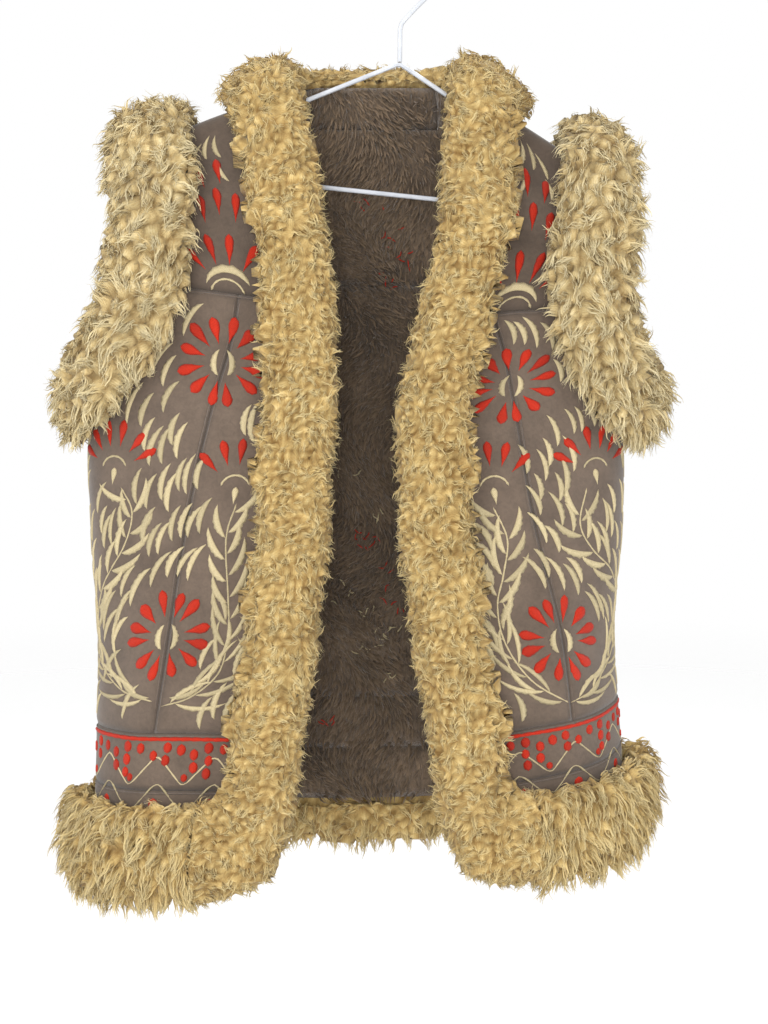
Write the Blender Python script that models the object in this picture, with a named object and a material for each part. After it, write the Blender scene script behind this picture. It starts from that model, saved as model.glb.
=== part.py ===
"""Embroidered shearling vest on a wire hanger.

The vest is cut from sheepskin: suede outside, short dyed wool inside, so each panel is one thick wall.
Long-pile strips edge the fronts and neck, the armholes and the hem. Right and left are the wearer's.
The maker's sizes are millimetres here, and each mesh is written in metres, with +Z up and the front
facing -Y. The origin is where the hanger's hook bears on its rail.
"""

import math

import bmesh
import bpy
import numpy as np
from mathutils import Vector

MM = 0.001

# Cloth and seams
WALL = 10.0
SEAM = 0.3
COLLAR_GAP = 0.5
TRIM_GAP = 0.9
EDGE_GAP = 0.8
CORNER = 56.0
NECK_TURN, NECK_SEAT = 34.0, 3.0

# Hanger, in its own upright frame, with the origin under the top of the hook
WIRE = 4.0
HANGER_TILT = 6.0
HANGER_APEX = -107.0
HANGER_HEIGHT = 110.0
HANGER_HALF_WIDTH = 175.0
HANGER_SLOPE = 26.0
HOOK_RADIUS = 28.0
HOOK_START, HOOK_END = -50.0, 190.0
# The stem from the apex to the hook's bow, as (x, z)
HOOK_STEM = [(0, -104.7), (-1.3, -90), (-2.5, -77.7), (-1.8, -73), (0.3, -69.4), (8.2, -59.1)]

# Height along the cloth above the hem of each named level
HEM, BAND, BORDER, HIP, WAIST, UNDERARM = 0.0, 49.0, 98.0, 176.0, 252.0, 387.0
ARMHOLE, YOKE, UPPER, COLLAR, RIDGE = 428.0, 466.0, 541.0, 612.0, 647.7
# The cloth rounds over the shoulder line with this radius, through rows this far round from the ridge
ARCH = 15.0
ARCH_TURNS = [math.radians(angle) for angle in (90, 60, 30, 0)]
SHOULDER = RIDGE - ARCH * ARCH_TURNS[0]

# The shoulder line passes over the hanger's arms
NECK_RIGHT, NECK_LEFT = -113.0, 47.0
SHOULDER_RIGHT, SHOULDER_LEFT = -246.0, 179.0

# Front openings and side lines: one row for each level, as
# (level, edge x, edge y, edge z, side x, side y, side z, how far the side is squared)
RIGHT_ROWS = [
    (HEM, -125, -80, -770, -283, 0, -780, 0.62),
    (BAND, -120, -78, -720, -281, 0, -729, 0.62),
    (BORDER, -114, -76, -672, -279, 0, -678, 0.62),
    (HIP, -103, -70, -594, -277, 0, -604, 0.62),
    (WAIST, -95, -66, -518, -281, 0, -521, 0.62),
    (UNDERARM, -88, -61, -386, -280, 0, -384, 0.66),
    (ARMHOLE, -87, -57, -348, -274, 0, -334, 0.66),
    (YOKE, -89, -53, -312, -266, 0, -286, 0.66),
    (UPPER, -98, -40, -232, -254, 0, -226, 0.66),
]
LEFT_ROWS = [
    (HEM, 48, -82, -764, 191, 14, -738, 0.62),
    (BAND, 42, -80, -720, 188, 14, -696, 0.62),
    (BORDER, 37, -78, -676, 184, 12, -654, 0.62),
    (HIP, 23, -72, -594, 180, 9, -587, 0.62),
    (WAIST, 14, -66, -518, 185, 4, -508, 0.62),
    (UNDERARM, 12, -61, -390, 185, 0, -386, 0.66),
    (ARMHOLE, 19, -57, -356, 187, 0, -350, 0.66),
    (YOKE, 28, -52, -322, 190, 0, -310, 0.66),
    (UPPER, 45, -40, -240, 186, 0, -250, 0.66),
]
# Back: (level, depth at the centre, height at the centre, how far the neck is level)
BACK_ROWS = [
    (HEM, 64, -764, 0.0),
    (BAND, 64, -716, 0.0),
    (BORDER, 62, -668, 0.0),
    (HIP, 58, -592, 0.0),
    (WAIST, 54, -514, 0.0),
    (UNDERARM, 56, -384, 0.0),
    (ARMHOLE, 54, -340, 0.0),
    (YOKE, 48, -292, 0.15),
    (UPPER, 36, -216, 0.6),
]
NECK_BLEND = 0.14
NECK_DEPTH = 17.0
NECK_BACK_Z = -123.0

# Armhole: distance of its edge from the side line, along the cloth, as (level, front, back)
ARMHOLE_ROWS = [
    (UNDERARM, 0, 0),
    (UNDERARM + 3, 13, 11),
    (UNDERARM + 11, 26, 23),
    (UNDERARM + 24, 38, 34),
    (ARMHOLE, 47, 42),
    (YOKE, 54, 47),
    (UPPER, 43, 40),
    (SHOULDER, 25, 25),
    (RIDGE, 21, 21),
]
# Front panel seam: its share of the way from the front edge to the side line, as (level, right, left)
SEAM_ROWS = [
    (BORDER, 0.54, 0.53),
    (HIP, 0.52, 0.54),
    (WAIST, 0.475, 0.465),
    (UNDERARM, 0.355, 0.36),
    (ARMHOLE, 0.312, 0.30),
    (YOKE, 0.29, 0.21),
    (RIDGE, 0.29, 0.21),
]

# Soft folds: (panel, share across, level, half width across, half length, depth towards the viewer)
FOLDS = [
    ("right", 0.62, 150, 26, 110, 4.0),
    ("right", 0.88, 255, 18, 60, 3.0),
    ("right", 0.40, 60, 30, 80, -3.0),
    ("left", 0.55, 170, 24, 120, 4.5),
    ("left", 0.80, 80, 20, 90, -3.5),
    ("left", 0.86, 300, 18, 50, 3.0),
    ("back", 0.30, 110, 30, 130, 5.0),
    ("back", 0.45, 60, 24, 90, -4.0),
    ("back", 0.62, 120, 28, 140, 5.0),
    ("back", 0.78, 90, 26, 120, -4.0),
    ("back", 0.50, 330, 60, 120, -4.0),
]

# Grid lines shared by neighbouring panels
ROW_LEVELS = [
    HEM, 24, BAND, 74, BORDER, 124, 150, HIP, 201, 226, WAIST, 279, 306, 333, 360,
    UNDERARM, UNDERARM + 1, UNDERARM + 3, UNDERARM + 6.5, UNDERARM + 11, UNDERARM + 17, UNDERARM + 24,
    ARMHOLE, 447, YOKE,
    491, 516, UPPER, 568, 592, COLLAR, SHOULDER, 628, 632, 636, 640, 644, RIDGE,
]  # fmt: skip
CENTRE_COLUMNS = 5
SIDE_COLUMNS = 7
# Shares of the back's width, from one armhole to the other, closer where its top turns into the neck
BACK_COLUMNS = [
    0.0, 0.05, 0.1, 0.155, 0.21, 0.26, 0.295, 0.325, 0.355, 0.425, 0.5,
    0.575, 0.645, 0.675, 0.705, 0.74, 0.79, 0.845, 0.9, 0.95, 1.0,
]  # fmt: skip
COLLAR_COLUMNS = (8, 12)

# Pile strips, as outlines across the strip: (distance beyond the edge, height off the cloth).
# The first and last points lie on the cloth, and the corner hugs the cloth's cut edge.
FRONT_PILE = [
    (-38, 1), (-46, 10), (-44, 22), (-30, 32), (-8, 35), (12, 31), (25, 19), (27, 4), (20, -6),
    (8, -8), (1, -9), (1, 1), (-19, 1),
]  # fmt: skip
ARMHOLE_PILE = [
    (-40, 1), (-49, 11), (-46, 26), (-30, 38), (-6, 42), (16, 37), (32, 23), (35, 5), (26, -5),
    (11, -6), (2.4, -5), (2.4, 1), (-10, 1), (-20, 1), (-30, 1),
]  # fmt: skip
HEM_PILE = [
    (-30, 1), (-42, 9), (-41, 21), (-26, 30), (0, 33), (24, 31), (43, 21), (48, 6), (41, -7),
    (22, -14), (1, -13), (1, 1), (-15, 1),
]  # fmt: skip
COLLAR_PILE = [
    (-26, 3), (-34, 8), (-33, 18), (-22, 26), (-6, 29), (8, 26), (17, 17), (19, 6), (14, -4),
    (7, -7), (2.2, -6), (2.2, 3), (-13, 3),
]  # fmt: skip
LUMP, PILE_WAVE = 0.09, 17.0
ARMHOLE_BULGE = {"right": 0.86, "left": 1.06}
# A cut end closes on the middle between its outline's highest point and the cloth's cut edge
TOP_POINT, CORNER_POINT = 5, 11
FRONT_REACH = 26.0
CORNER_ROUNDING = 0.75
CORNER_RINGS, NECK_RINGS, COLLAR_RINGS, HEM_RINGS = 6, 4, 9, 9


def material(name, colour, roughness, metallic=0.0):
    made = bpy.data.materials.new(name)
    made.use_nodes = True
    shader = made.node_tree.nodes["Principled BSDF"]
    shader.inputs["Base Color"].default_value = (*colour, 1.0)
    shader.inputs["Roughness"].default_value = roughness
    shader.inputs["Metallic"].default_value = metallic
    return made


def hanger_point(x, z):
    """A point of the hanger's own frame, after it leans about the hook's bearing point."""
    lean = math.radians(HANGER_TILT)
    return x * math.cos(lean) + z * math.sin(lean), z * math.cos(lean) - x * math.sin(lean)


def shoulder_z(x, side):
    """Height of the shoulder line over one of the hanger's arms, where side is -1 or 1."""
    apex_x, apex_z = hanger_point(0.0, HANGER_APEX)
    slope = math.radians(HANGER_SLOPE + side * HANGER_TILT)
    rise = (WIRE / 2 + SEAM + WALL) / math.cos(slope)
    return apex_z - abs(x - apex_x) * math.tan(slope) + rise


def with_shoulder(rows, neck_x, side_x, side):
    """A front's rows, continued over the round of the shoulder."""
    neck_z, end_z = shoulder_z(neck_x, side), shoulder_z(side_x, side)
    over = []
    for turn in ARCH_TURNS:
        depth, drop = ARCH * math.sin(turn), ARCH * (1 - math.cos(turn))
        over.append((RIDGE - ARCH * turn, neck_x, -depth, neck_z - drop, side_x, 0, end_z - drop, 1.0))
    return rows + over


def with_neck(rows):
    """The back's rows, continued over the shoulders, with the depth and height of the upright neck band."""
    arch = [
        (RIDGE - ARCH * turn, ARCH * math.sin(turn), NECK_BACK_Z - ARCH * (1 - math.cos(turn)))
        for turn in ARCH_TURNS
    ]
    band = [(depth, height) for _, depth, height, _ in rows]
    band += [(NECK_DEPTH + 0.15 * (RIDGE - level), NECK_BACK_Z - (RIDGE - level)) for level, *_ in arch]
    return [(*row, *upright) for row, upright in zip(rows + [(*row, 1.0) for row in arch], band)]


def slopes(levels, values):
    """Tangents of a smooth curve through a table's rows."""
    step = np.diff(levels)
    rise = np.diff(values, axis=0) / step[:, None]
    inner = (rise[:-1] * step[1:, None] + rise[1:] * step[:-1, None]) / (step[:-1] + step[1:])[:, None]
    return np.vstack([rise[:1], inner, rise[-1:]])


class Table:
    """Rows of sizes, read smoothly between its levels. Its level_columns end level at the ridge."""

    def __init__(self, rows, level_columns=()):
        data = np.array(rows, float)
        self.levels, self.values = data[:, 0], data[:, 1:]
        self.tangents = slopes(self.levels, self.values)
        for column in level_columns:
            self.tangents[-1, column] = 0.0

    def at(self, level):
        i = int(np.clip(np.searchsorted(self.levels, level) - 1, 0, len(self.levels) - 2))
        span = self.levels[i + 1] - self.levels[i]
        t = (level - self.levels[i]) / span
        a, b = self.values[i], self.values[i + 1]
        da, db = self.tangents[i] * span, self.tangents[i + 1] * span
        return (
            a * (1 + 2 * t) * (1 - t) ** 2
            + b * t * t * (3 - 2 * t)
            + da * t * (1 - t) ** 2
            + db * t * t * (t - 1)
        )


EDGE_X, EDGE_Y, EDGE_Z, SIDE_X, SIDE_Y, SIDE_Z, SQUARE = range(7)
FRONT_TABLES = {
    "right": Table(
        with_shoulder(RIGHT_ROWS, NECK_RIGHT, SHOULDER_RIGHT, -1),
        (EDGE_X, EDGE_Z, SIDE_X, SIDE_Z, SQUARE),
    ),
    "left": Table(
        with_shoulder(LEFT_ROWS, NECK_LEFT, SHOULDER_LEFT, 1),
        (EDGE_X, EDGE_Z, SIDE_X, SIDE_Z, SQUARE),
    ),
}
BACK_TABLE = Table(with_neck(BACK_ROWS), (1, 2))
ARMHOLE_TABLE = Table(ARMHOLE_ROWS)
SEAM_TABLE = Table(SEAM_ROWS)


def smooth(t):
    t = min(1.0, max(0.0, t))
    return t * t * (3 - 2 * t)


def quarter(start, heading, end, square, share):
    """A point on the rounded curve from start, leaving along heading, to end, which it meets along Y."""
    start, heading, end = np.array(start, float), np.array(heading, float), np.array(end, float)
    reach = abs(end[0] - start[0])
    drop = np.array([0.0, start[1] - end[1]])
    first = start + heading * square * reach
    second = end + drop * square
    t = np.linspace(0, 1, 49)[:, None]
    line = (
        start * (1 - t) ** 3 + 3 * first * t * (1 - t) ** 2 + 3 * second * t * t * (1 - t) + end * t**3
    )
    along = np.concatenate([[0], np.cumsum(np.linalg.norm(np.diff(line, axis=0), axis=1))])
    wanted = share * along[-1]
    return np.array([np.interp(wanted, along, line[:, k]) for k in (0, 1)]), along[-1]


def fold(panel, share, level, length):
    """How far the folds of a panel lift it at a point. They fade out at the side line and the top."""
    lift = 0.0
    for name, across, along, half_width, half_length, depth in FOLDS:
        if name == panel:
            off = (share - across) * length / half_width
            lift += depth * math.exp(-off * off - ((level - along) / half_length) ** 2)
    ends = min(1 - share, share) if panel == "back" else 1 - share
    return lift * smooth(ends * length / 50) * smooth((SHOULDER - level) / 80)


def front_point(panel, share, level):
    """A point of a front's outer face, and the cloth's length from front edge to side line there."""
    row = FRONT_TABLES[panel].at(level)
    outwards = -1.0 if panel == "right" else 1.0
    plan, length = quarter(
        row[[EDGE_X, EDGE_Y]], (outwards, 0.0), row[[SIDE_X, SIDE_Y]], row[SQUARE], share
    )
    z = row[EDGE_Z] + (row[SIDE_Z] - row[EDGE_Z]) * share
    return np.array([plan[0], plan[1] - fold(panel, share, level, length), z]), length


def neck_share(side):
    """The share of the back's half width, from its side line, that a shoulder takes up."""
    half = (SHOULDER_LEFT - SHOULDER_RIGHT) / 2
    return (NECK_RIGHT - SHOULDER_RIGHT if side == "right" else SHOULDER_LEFT - NECK_LEFT) / half


def neck_rise(share):
    """How far the back's top edge is an upright neck band at a share, and not a shoulder."""
    shoulder = neck_share("right" if share < 0.5 else "left")
    return smooth((2 * min(share, 1 - share) - shoulder) / NECK_BLEND)


def back_point(share, level):
    """A point of the back's outer face, from the right side line at 0 to the left one at 1."""
    depth, centre_z, neck_level, band_depth, band_z = BACK_TABLE.at(level)
    panel = "right" if share < 0.5 else "left"
    row = FRONT_TABLES[panel].at(level)
    other = FRONT_TABLES["left" if panel == "right" else "right"].at(level)
    outwards = -1.0 if panel == "right" else 1.0
    inwards = 2 * min(share, 1 - share)
    centre = ((row[SIDE_X] + other[SIDE_X]) / 2, depth)
    plan, length = quarter(centre, (outwards, 0.0), row[[SIDE_X, SIDE_Y]], row[SQUARE], 1 - inwards)
    sloping = (centre_z - row[SIDE_Z]) * inwards
    levelled = (row[EDGE_Z] - row[SIDE_Z]) * min(1.0, inwards / neck_share(panel))
    z = row[SIDE_Z] + sloping + (levelled - sloping) * neck_level
    y = plan[1] + fold("back", share, level, 2 * length)
    rise = neck_rise(share)
    return np.array([plan[0], y + (band_depth - depth) * rise, z + (band_z - z) * rise]), 2 * length


def point(panel, share, level):
    place, _ = back_point(share, level) if panel == "back" else front_point(panel, share, level)
    return place


def length(panel, level):
    return (back_point(0.5, level) if panel == "back" else front_point(panel, 0.5, level))[1]


def normal(panel, share, level):
    """The outward normal of the cloth, from differences inside the panel."""
    step_s, step_l = 0.004, 0.6
    s0, s1 = max(0.0, share - step_s), min(1.0, share + step_s)
    l0, l1 = max(HEM, level - step_l), min(RIDGE, level + step_l)
    across = point(panel, s1, level) - point(panel, s0, level)
    up = point(panel, share, l1) - point(panel, share, l0)
    if panel != "back" and share > 0.985 and level <= UNDERARM:
        across = np.array([0.0, 1.0, 0.0])
    if panel == "back" and min(share, 1 - share) < 0.008 and level <= UNDERARM:
        across = np.array([0.0, 1.0 if share < 0.5 else -1.0, 0.0])
    if level > RIDGE - 1:
        over = np.array([0.0, -1.0 if panel == "back" else 1.0, 0.0])
        rise = neck_rise(share) if panel == "back" else 0.0
        up = over * (1 - rise) + up / np.linalg.norm(up) * rise
    out = np.cross(across, up)
    if panel == "right":
        out = -out
    if panel == "back":
        out = -out
    return out / np.linalg.norm(out)


def armhole_share(panel, level, side=None):
    """The share at which a panel ends: at the side line, or at the armhole above it."""
    if level <= UNDERARM:
        inset = 0.0
    else:
        front, back = ARMHOLE_TABLE.at(level)
        inset = back if panel == "back" else front
    inset = max(inset, 0.0) / length(panel, level)
    return (inset if side == "right" else 1 - inset) if panel == "back" else 1 - inset


def seam_share(panel, level):
    return float(SEAM_TABLE.at(max(level, BORDER))[0 if panel == "right" else 1])


def wall(name, panel, columns, levels, finish, holes=()):
    """A panel: outer and inner faces a wall apart, over a grid of the cloth's own lines.

    columns(level) gives the shares of the grid's lines. levels pairs each row's level with the level
    of the seam that it lies at. holes lists cells (row, column) left out.
    """
    outer, inner = [], []
    for level, seam in levels:
        places = [(point(panel, s, level), normal(panel, s, seam)) for s in columns(level)]
        outer.append([place for place, _ in places])
        inner.append([place - out * WALL for place, out in places])
    rows, width = len(levels), len(outer[0])
    cells = {(r, c) for r in range(rows - 1) for c in range(width - 1)} - set(holes)

    mesh = bmesh.new()
    made = {}

    def vertex(face, r, c):
        if (face, r, c) not in made:
            made[face, r, c] = mesh.verts.new(Vector((outer, inner)[face][r][c]) * MM)
        return made[face, r, c]

    for r, c in sorted(cells):
        corners = [(r, c), (r, c + 1), (r + 1, c + 1), (r + 1, c)]
        mesh.faces.new([vertex(0, *corner) for corner in corners])
        mesh.faces.new([vertex(1, *corner) for corner in reversed(corners)])
        beside = [(r - 1, c), (r, c + 1), (r + 1, c), (r, c - 1)]
        for side, neighbour in enumerate(beside):
            if neighbour not in cells:
                a, b = corners[side], corners[(side + 1) % 4]
                face = [vertex(0, *b), vertex(0, *a), vertex(1, *a), vertex(1, *b)]
                # Both sides of a seam split their cut faces along the same diagonals.
                mesh.faces.new(face if side < 2 else face[1:] + face[:1])
    return finished(name, mesh, finish)


def finished(name, mesh, finish):
    """The mesh as an object with its faces outwards, smooth but for its cut edges."""
    bmesh.ops.recalc_face_normals(mesh, faces=mesh.faces)
    if mesh.calc_volume(signed=True) < 0:
        bmesh.ops.reverse_faces(mesh, faces=mesh.faces)
    data = bpy.data.meshes.new(name)
    mesh.to_mesh(data)
    mesh.free()
    data.shade_smooth()
    data.set_sharp_from_angle(angle=math.radians(50))
    data.materials.append(finish)
    made = bpy.data.objects.new(name, data)
    collection.objects.link(made)
    return made


def inset_levels(low, high):
    """The shared levels from low to high as (level, seam's level), half a seam's gap in from the seams."""
    inner = [(level, level) for level in ROW_LEVELS if low < level < high]
    first = low if low == HEM else low + SEAM / 2
    return [(first, low), *inner, (high - SEAM / 2, high)]


def front_columns(panel, part):
    """The column lines of a front's part: the centre, the side, or both as in the yoke and bands."""

    def columns(level):
        gap = SEAM / 2 / length(panel, level)
        seam, end = seam_share(panel, level), armhole_share(panel, level)
        if level <= UNDERARM:
            end -= gap
        whole = part == "whole"
        centre = np.linspace(0, seam if whole else seam - gap, CENTRE_COLUMNS + 1)
        side = np.linspace(seam if whole else seam + gap, end, SIDE_COLUMNS + 1)
        return {"centre": centre, "side": side, "whole": np.concatenate([centre, side[1:]])}[part]

    return columns


def back_columns(level):
    gap = SEAM / 2 / length("back", level) if level <= UNDERARM else 0.0
    start = armhole_share("back", level, "right") + gap
    end = armhole_share("back", level, "left") - gap
    return start + (end - start) * np.array(BACK_COLUMNS)


def collar_columns(level):
    gap = COLLAR_GAP / length("back", level)
    first, last = COLLAR_COLUMNS
    columns = back_columns(level)[first : last + 1]
    return np.array([columns[0] + gap, *columns[1:-1], columns[-1] - gap])


def make_panels(suede):
    for panel in ("right", "left"):
        wall(f"front_{panel}_hem_band", panel, front_columns(panel, "whole"), inset_levels(HEM, BAND), suede)
        wall(
            f"front_{panel}_border", panel, front_columns(panel, "whole"), inset_levels(BAND, BORDER), suede
        )
        for part in ("centre", "side"):
            wall(
                f"front_{panel}_{part}", panel, front_columns(panel, part), inset_levels(BORDER, YOKE), suede
            )
        wall(f"front_{panel}_yoke", panel, front_columns(panel, "whole"), inset_levels(YOKE, RIDGE), suede)

    wall("back_hem_band", "back", back_columns, inset_levels(HEM, BAND), suede)
    wall("back_border", "back", back_columns, inset_levels(BAND, BORDER), suede)
    wall("back_body", "back", back_columns, inset_levels(BORDER, YOKE), suede)
    yoke_levels = inset_levels(YOKE, RIDGE)
    above = [r for r, (level, _) in enumerate(yoke_levels) if level >= COLLAR]
    notch = [(r, c) for r in above for c in range(*COLLAR_COLUMNS)]
    wall("back_yoke", "back", back_columns, yoke_levels, suede, notch)
    collar_levels = [(COLLAR + SEAM, COLLAR), *[yoke_levels[r] for r in above[1:]]]
    wall("collar_band", "back", collar_columns, collar_levels, suede)


def off_edges(panel, across, up, height):
    """A point of a front's strip: its distances from the front edge and the hem, beyond them if
    negative, and its height off the cloth."""
    level = max(up, 0.0)
    share = max(across, 0.0) / length(panel, level)
    place = point(panel, share, level) + normal(panel, share, level) * height
    if across < 0:
        beyond = point(panel, 0.0, level) - point(panel, 0.02, level)
        place = place - beyond / np.linalg.norm(beyond) * across
    if up < 0:
        below = point(panel, share, HEM) - point(panel, share, 4.0)
        place = place - below / np.linalg.norm(below) * up
    return place


class Station:
    """One section across a strip that runs along a panel's edge."""

    def __init__(self, panel, share, level, along):
        """along is the direction in which the edge runs, so that the strip lies across it."""
        self.panel, self.share, self.level = panel, share, level
        self.place, self.out = point(panel, share, level), normal(panel, share, level)
        beyond = np.cross(along, self.out)
        self.beyond = beyond / np.linalg.norm(beyond)

    def lean(self, direction, how_far):
        """Turns the section towards one that lies along a direction."""
        flat = direction - self.out * np.dot(direction, self.out)
        beyond = self.beyond * (1 - how_far) + flat / np.linalg.norm(flat) * how_far
        self.beyond = beyond / np.linalg.norm(beyond)

    def inwards(self, distance):
        """The cloth's point and normal that far in from the edge, found by walking over the cloth."""
        share, level = self.share, self.level
        step, travelled, target = 5.0, 0.0, self.place
        while travelled < distance - 1e-6:
            go = min(step, distance - travelled)
            target = target - self.beyond * go
            here = point(self.panel, share, level)
            ds, dl = 0.002, 0.5
            s_sign = -1.0 if share > 0.5 else 1.0
            l_sign = -1.0 if level > RIDGE / 2 else 1.0
            by_share = (point(self.panel, share + s_sign * ds, level) - here) / (s_sign * ds)
            by_level = (point(self.panel, share, level + l_sign * dl) - here) / (l_sign * dl)
            basis = np.stack([by_share, by_level], axis=1)
            move, *_ = np.linalg.lstsq(basis, target - here, rcond=None)
            share = float(np.clip(share + move[0], 0.0, 1.0))
            level = float(np.clip(level + move[1], HEM, RIDGE))
            travelled += go
        return point(self.panel, share, level), normal(self.panel, share, level)

    def at(self, beyond, height):
        if beyond > 0:
            return self.place + self.beyond * beyond + self.out * height
        place, out = self.inwards(-beyond)
        return place + out * height


def uneven(outline, place):
    """A strip's outline with the slow unevenness of its pile at a place along it, in millimetres.

    The points that hug the cloth, with a 1 in the table, keep their small gap to it.
    """
    phase = place / PILE_WAVE
    section = []
    for j, (beyond, height) in enumerate(outline):
        bulge = 1 + LUMP * (0.6 * math.sin(phase + 0.8 * j) + 0.4 * math.sin(2 * phase - 1.3 * j + 1.0))
        if beyond == 1:
            section.append((EDGE_GAP, TRIM_GAP if height == 1 else height))
        elif height == 1:
            section.append((beyond, TRIM_GAP))
        else:
            section.append((beyond * bulge, height * bulge))
    return section


def loft(name, rings, finish, closed=False):
    """A solid through rings of points. Open lofts have flat ends."""
    mesh = bmesh.new()
    loops = [[mesh.verts.new(Vector(p) * MM) for p in ring] for ring in rings]
    count = len(loops[0])
    pairs = list(zip(loops, loops[1:] + loops[:1])) if closed else list(zip(loops, loops[1:]))
    for a, b in pairs:
        for j in range(count):
            k = (j + 1) % count
            mesh.faces.new([a[j], a[k], b[k], b[j]])
    if not closed:
        for end in (loops[0], loops[-1]):
            middle = mesh.verts.new((end[TOP_POINT].co + end[CORNER_POINT].co) / 2)
            for a, b in zip(end, end[1:] + end[:1]):
                mesh.faces.new([a, b, middle])
    return finished(name, mesh, finish)


def corner_ring(panel, turn):
    """A section where a front's strip goes round the corner into the hem: turn is 0 above, 1 beside.

    It stays square at the cloth, whose corner it goes round, and is rounded outside.
    """
    cosine, sine = math.cos(turn * math.pi / 2), math.sin(turn * math.pi / 2)
    place = CORNER * (1 - turn)
    ring = []
    for (edge, edge_height), (hem, hem_height) in zip(uneven(FRONT_PILE, place), uneven(HEM_PILE, place)):
        rounding = CORNER_ROUNDING * min(max(edge - 1, 0.0) / FRONT_REACH, 1.0)
        reach = max(cosine, sine) ** (rounding - 1)
        across = CORNER - (CORNER + edge) * cosine * reach
        up = CORNER - (CORNER + hem) * sine * reach
        ring.append(off_edges(panel, across, up, edge_height * cosine**2 + hem_height * sine**2))
    return ring


def front_ring(panel, level):
    return [off_edges(panel, -beyond, level, height) for beyond, height in uneven(FRONT_PILE, level)]


def front_strip(panel, pile):
    """The strip down one front edge from the shoulder line, round the corner and into the hem."""
    rings = [front_ring(panel, level) for level in ROW_LEVELS if level > CORNER]
    half_gap = np.array([0.0, SEAM / 2, 0.0])
    rings[-1] = [place - half_gap for place in rings[-1]]
    corner = [corner_ring(panel, turn / CORNER_RINGS) for turn in range(CORNER_RINGS, -1, -1)]
    return loft(f"front_{panel}_pile", corner + rings, pile)


def hem_strip(panel, pile):
    """The strip along a front's hem, from its corner piece to the side line."""
    start, end = CORNER + SEAM, length(panel, HEM) - SEAM / 2
    rings = []
    for place in np.linspace(start, end, HEM_RINGS):
        section = uneven(HEM_PILE, (place - start) * (end - place) / end)
        rings.append([off_edges(panel, place, -beyond, height) for beyond, height in section])
    return loft(f"hem_{panel}_pile", rings, pile)


def back_hem_strip(pile):
    """The strip along the back's hem, from side line to side line."""
    whole = length("back", HEM)
    rings = []
    for place in back_columns(HEM) * whole:
        section = uneven(HEM_PILE, min(place, whole - place))
        rings.append([off_edges("back", place, -beyond, height) for beyond, height in section])
    return loft("hem_back_pile", rings, pile)


def armhole_strip(side, pile):
    """The closed strip round an armhole: up the front edge, over the shoulder and down the back."""
    levels = [level for level in ROW_LEVELS if level >= UNDERARM]
    front = [(side, armhole_share(side, level), level) for level in levels]
    back = [("back", armhole_share("back", level, side), level) for level in levels[1:-1]]
    loop = front + back[::-1]
    places = [point(*spot) for spot in loop]
    steps = [np.linalg.norm(place - before) for place, before in zip(places, places[-1:] + places[:-1])]
    waves = round(sum(steps) / (2 * math.pi * PILE_WAVE))
    sense = -1.0 if side == "right" else 1.0
    shoulder = point(side, 1.0, RIDGE) - point(side, 0.0, RIDGE)
    rings = []
    for k, (panel, share, level) in enumerate(loop):
        along = places[(k + 1) % len(loop)] - places[k - 1]
        station = Station(panel, share, level, along * sense)
        station.lean(shoulder, smooth((level - UPPER) / (SHOULDER - UPPER)))
        place = sum(steps[: k + 1]) / sum(steps) * waves * 2 * math.pi * PILE_WAVE
        bulge = ARMHOLE_BULGE[side]
        section = [
            (beyond, height * bulge if height > TRIM_GAP else height)
            for beyond, height in uneven(ARMHOLE_PILE, place)
        ]
        rings.append([station.at(*spot) for spot in section])
    return loft(f"armhole_{side}_pile", rings, pile, closed=True)


def back_top(share, beyond, height):
    """A point of the strip on the back's top edge: how far beyond it, and how high off the cloth."""
    level = RIDGE + min(beyond, 0.0)
    place = point("back", share, level) + normal("back", share, level) * height
    if beyond > 0:
        up = point("back", share, RIDGE) - point("back", share, RIDGE - 2)
        place = place + up / np.linalg.norm(up) * beyond
    return place


def neck_ring(side, turn):
    """A section where a front's strip turns from the shoulder line, at 0, into the back of the neck, at 1."""
    half_gap = np.array([0.0, SEAM / 2, 0.0])
    if turn == 0:
        return [place + half_gap for place in front_ring(side, RIDGE)]
    cosine, sine = math.cos(turn * math.pi / 2), math.sin(turn * math.pi / 2)
    front, neck = uneven(FRONT_PILE, RIDGE), uneven(COLLAR_PILE, RIDGE)
    ring = []
    for (edge, edge_height), (beyond, height) in zip(front, neck):
        along = NECK_TURN - (NECK_TURN - min(edge, 0.0)) * cosine
        share = neck_share(side) / 2 + along / length("back", RIDGE)
        share = share if side == "right" else 1 - share
        off = edge_height * cosine**2 + height * sine**2
        off = max(off, NECK_SEAT) if edge < 0 else off
        place = back_top(share, beyond if beyond > 0 else beyond * sine, off)
        place[1] = max(place[1], SEAM / 2)
        ring.append(place)
    return ring


def collar_strip(pile):
    """The strip round the back of the neck, which meets the fronts' strips on the shoulder line."""
    whole = length("back", RIDGE)
    turns = [turn / NECK_RINGS for turn in range(NECK_RINGS + 1)]
    first = neck_share("right") / 2 + NECK_TURN / whole
    last = 1 - neck_share("left") / 2 - NECK_TURN / whole
    middle = []
    for share in np.linspace(first, last, COLLAR_RINGS)[1:-1]:
        wave = (share - first) * (last - share) * whole
        middle.append([back_top(share, *spot) for spot in uneven(COLLAR_PILE, RIDGE + 4 * wave)])
    right = [neck_ring("right", turn) for turn in turns]
    left = [neck_ring("left", turn) for turn in turns]
    return loft("collar_pile", right + middle + left[::-1], pile)


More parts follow.
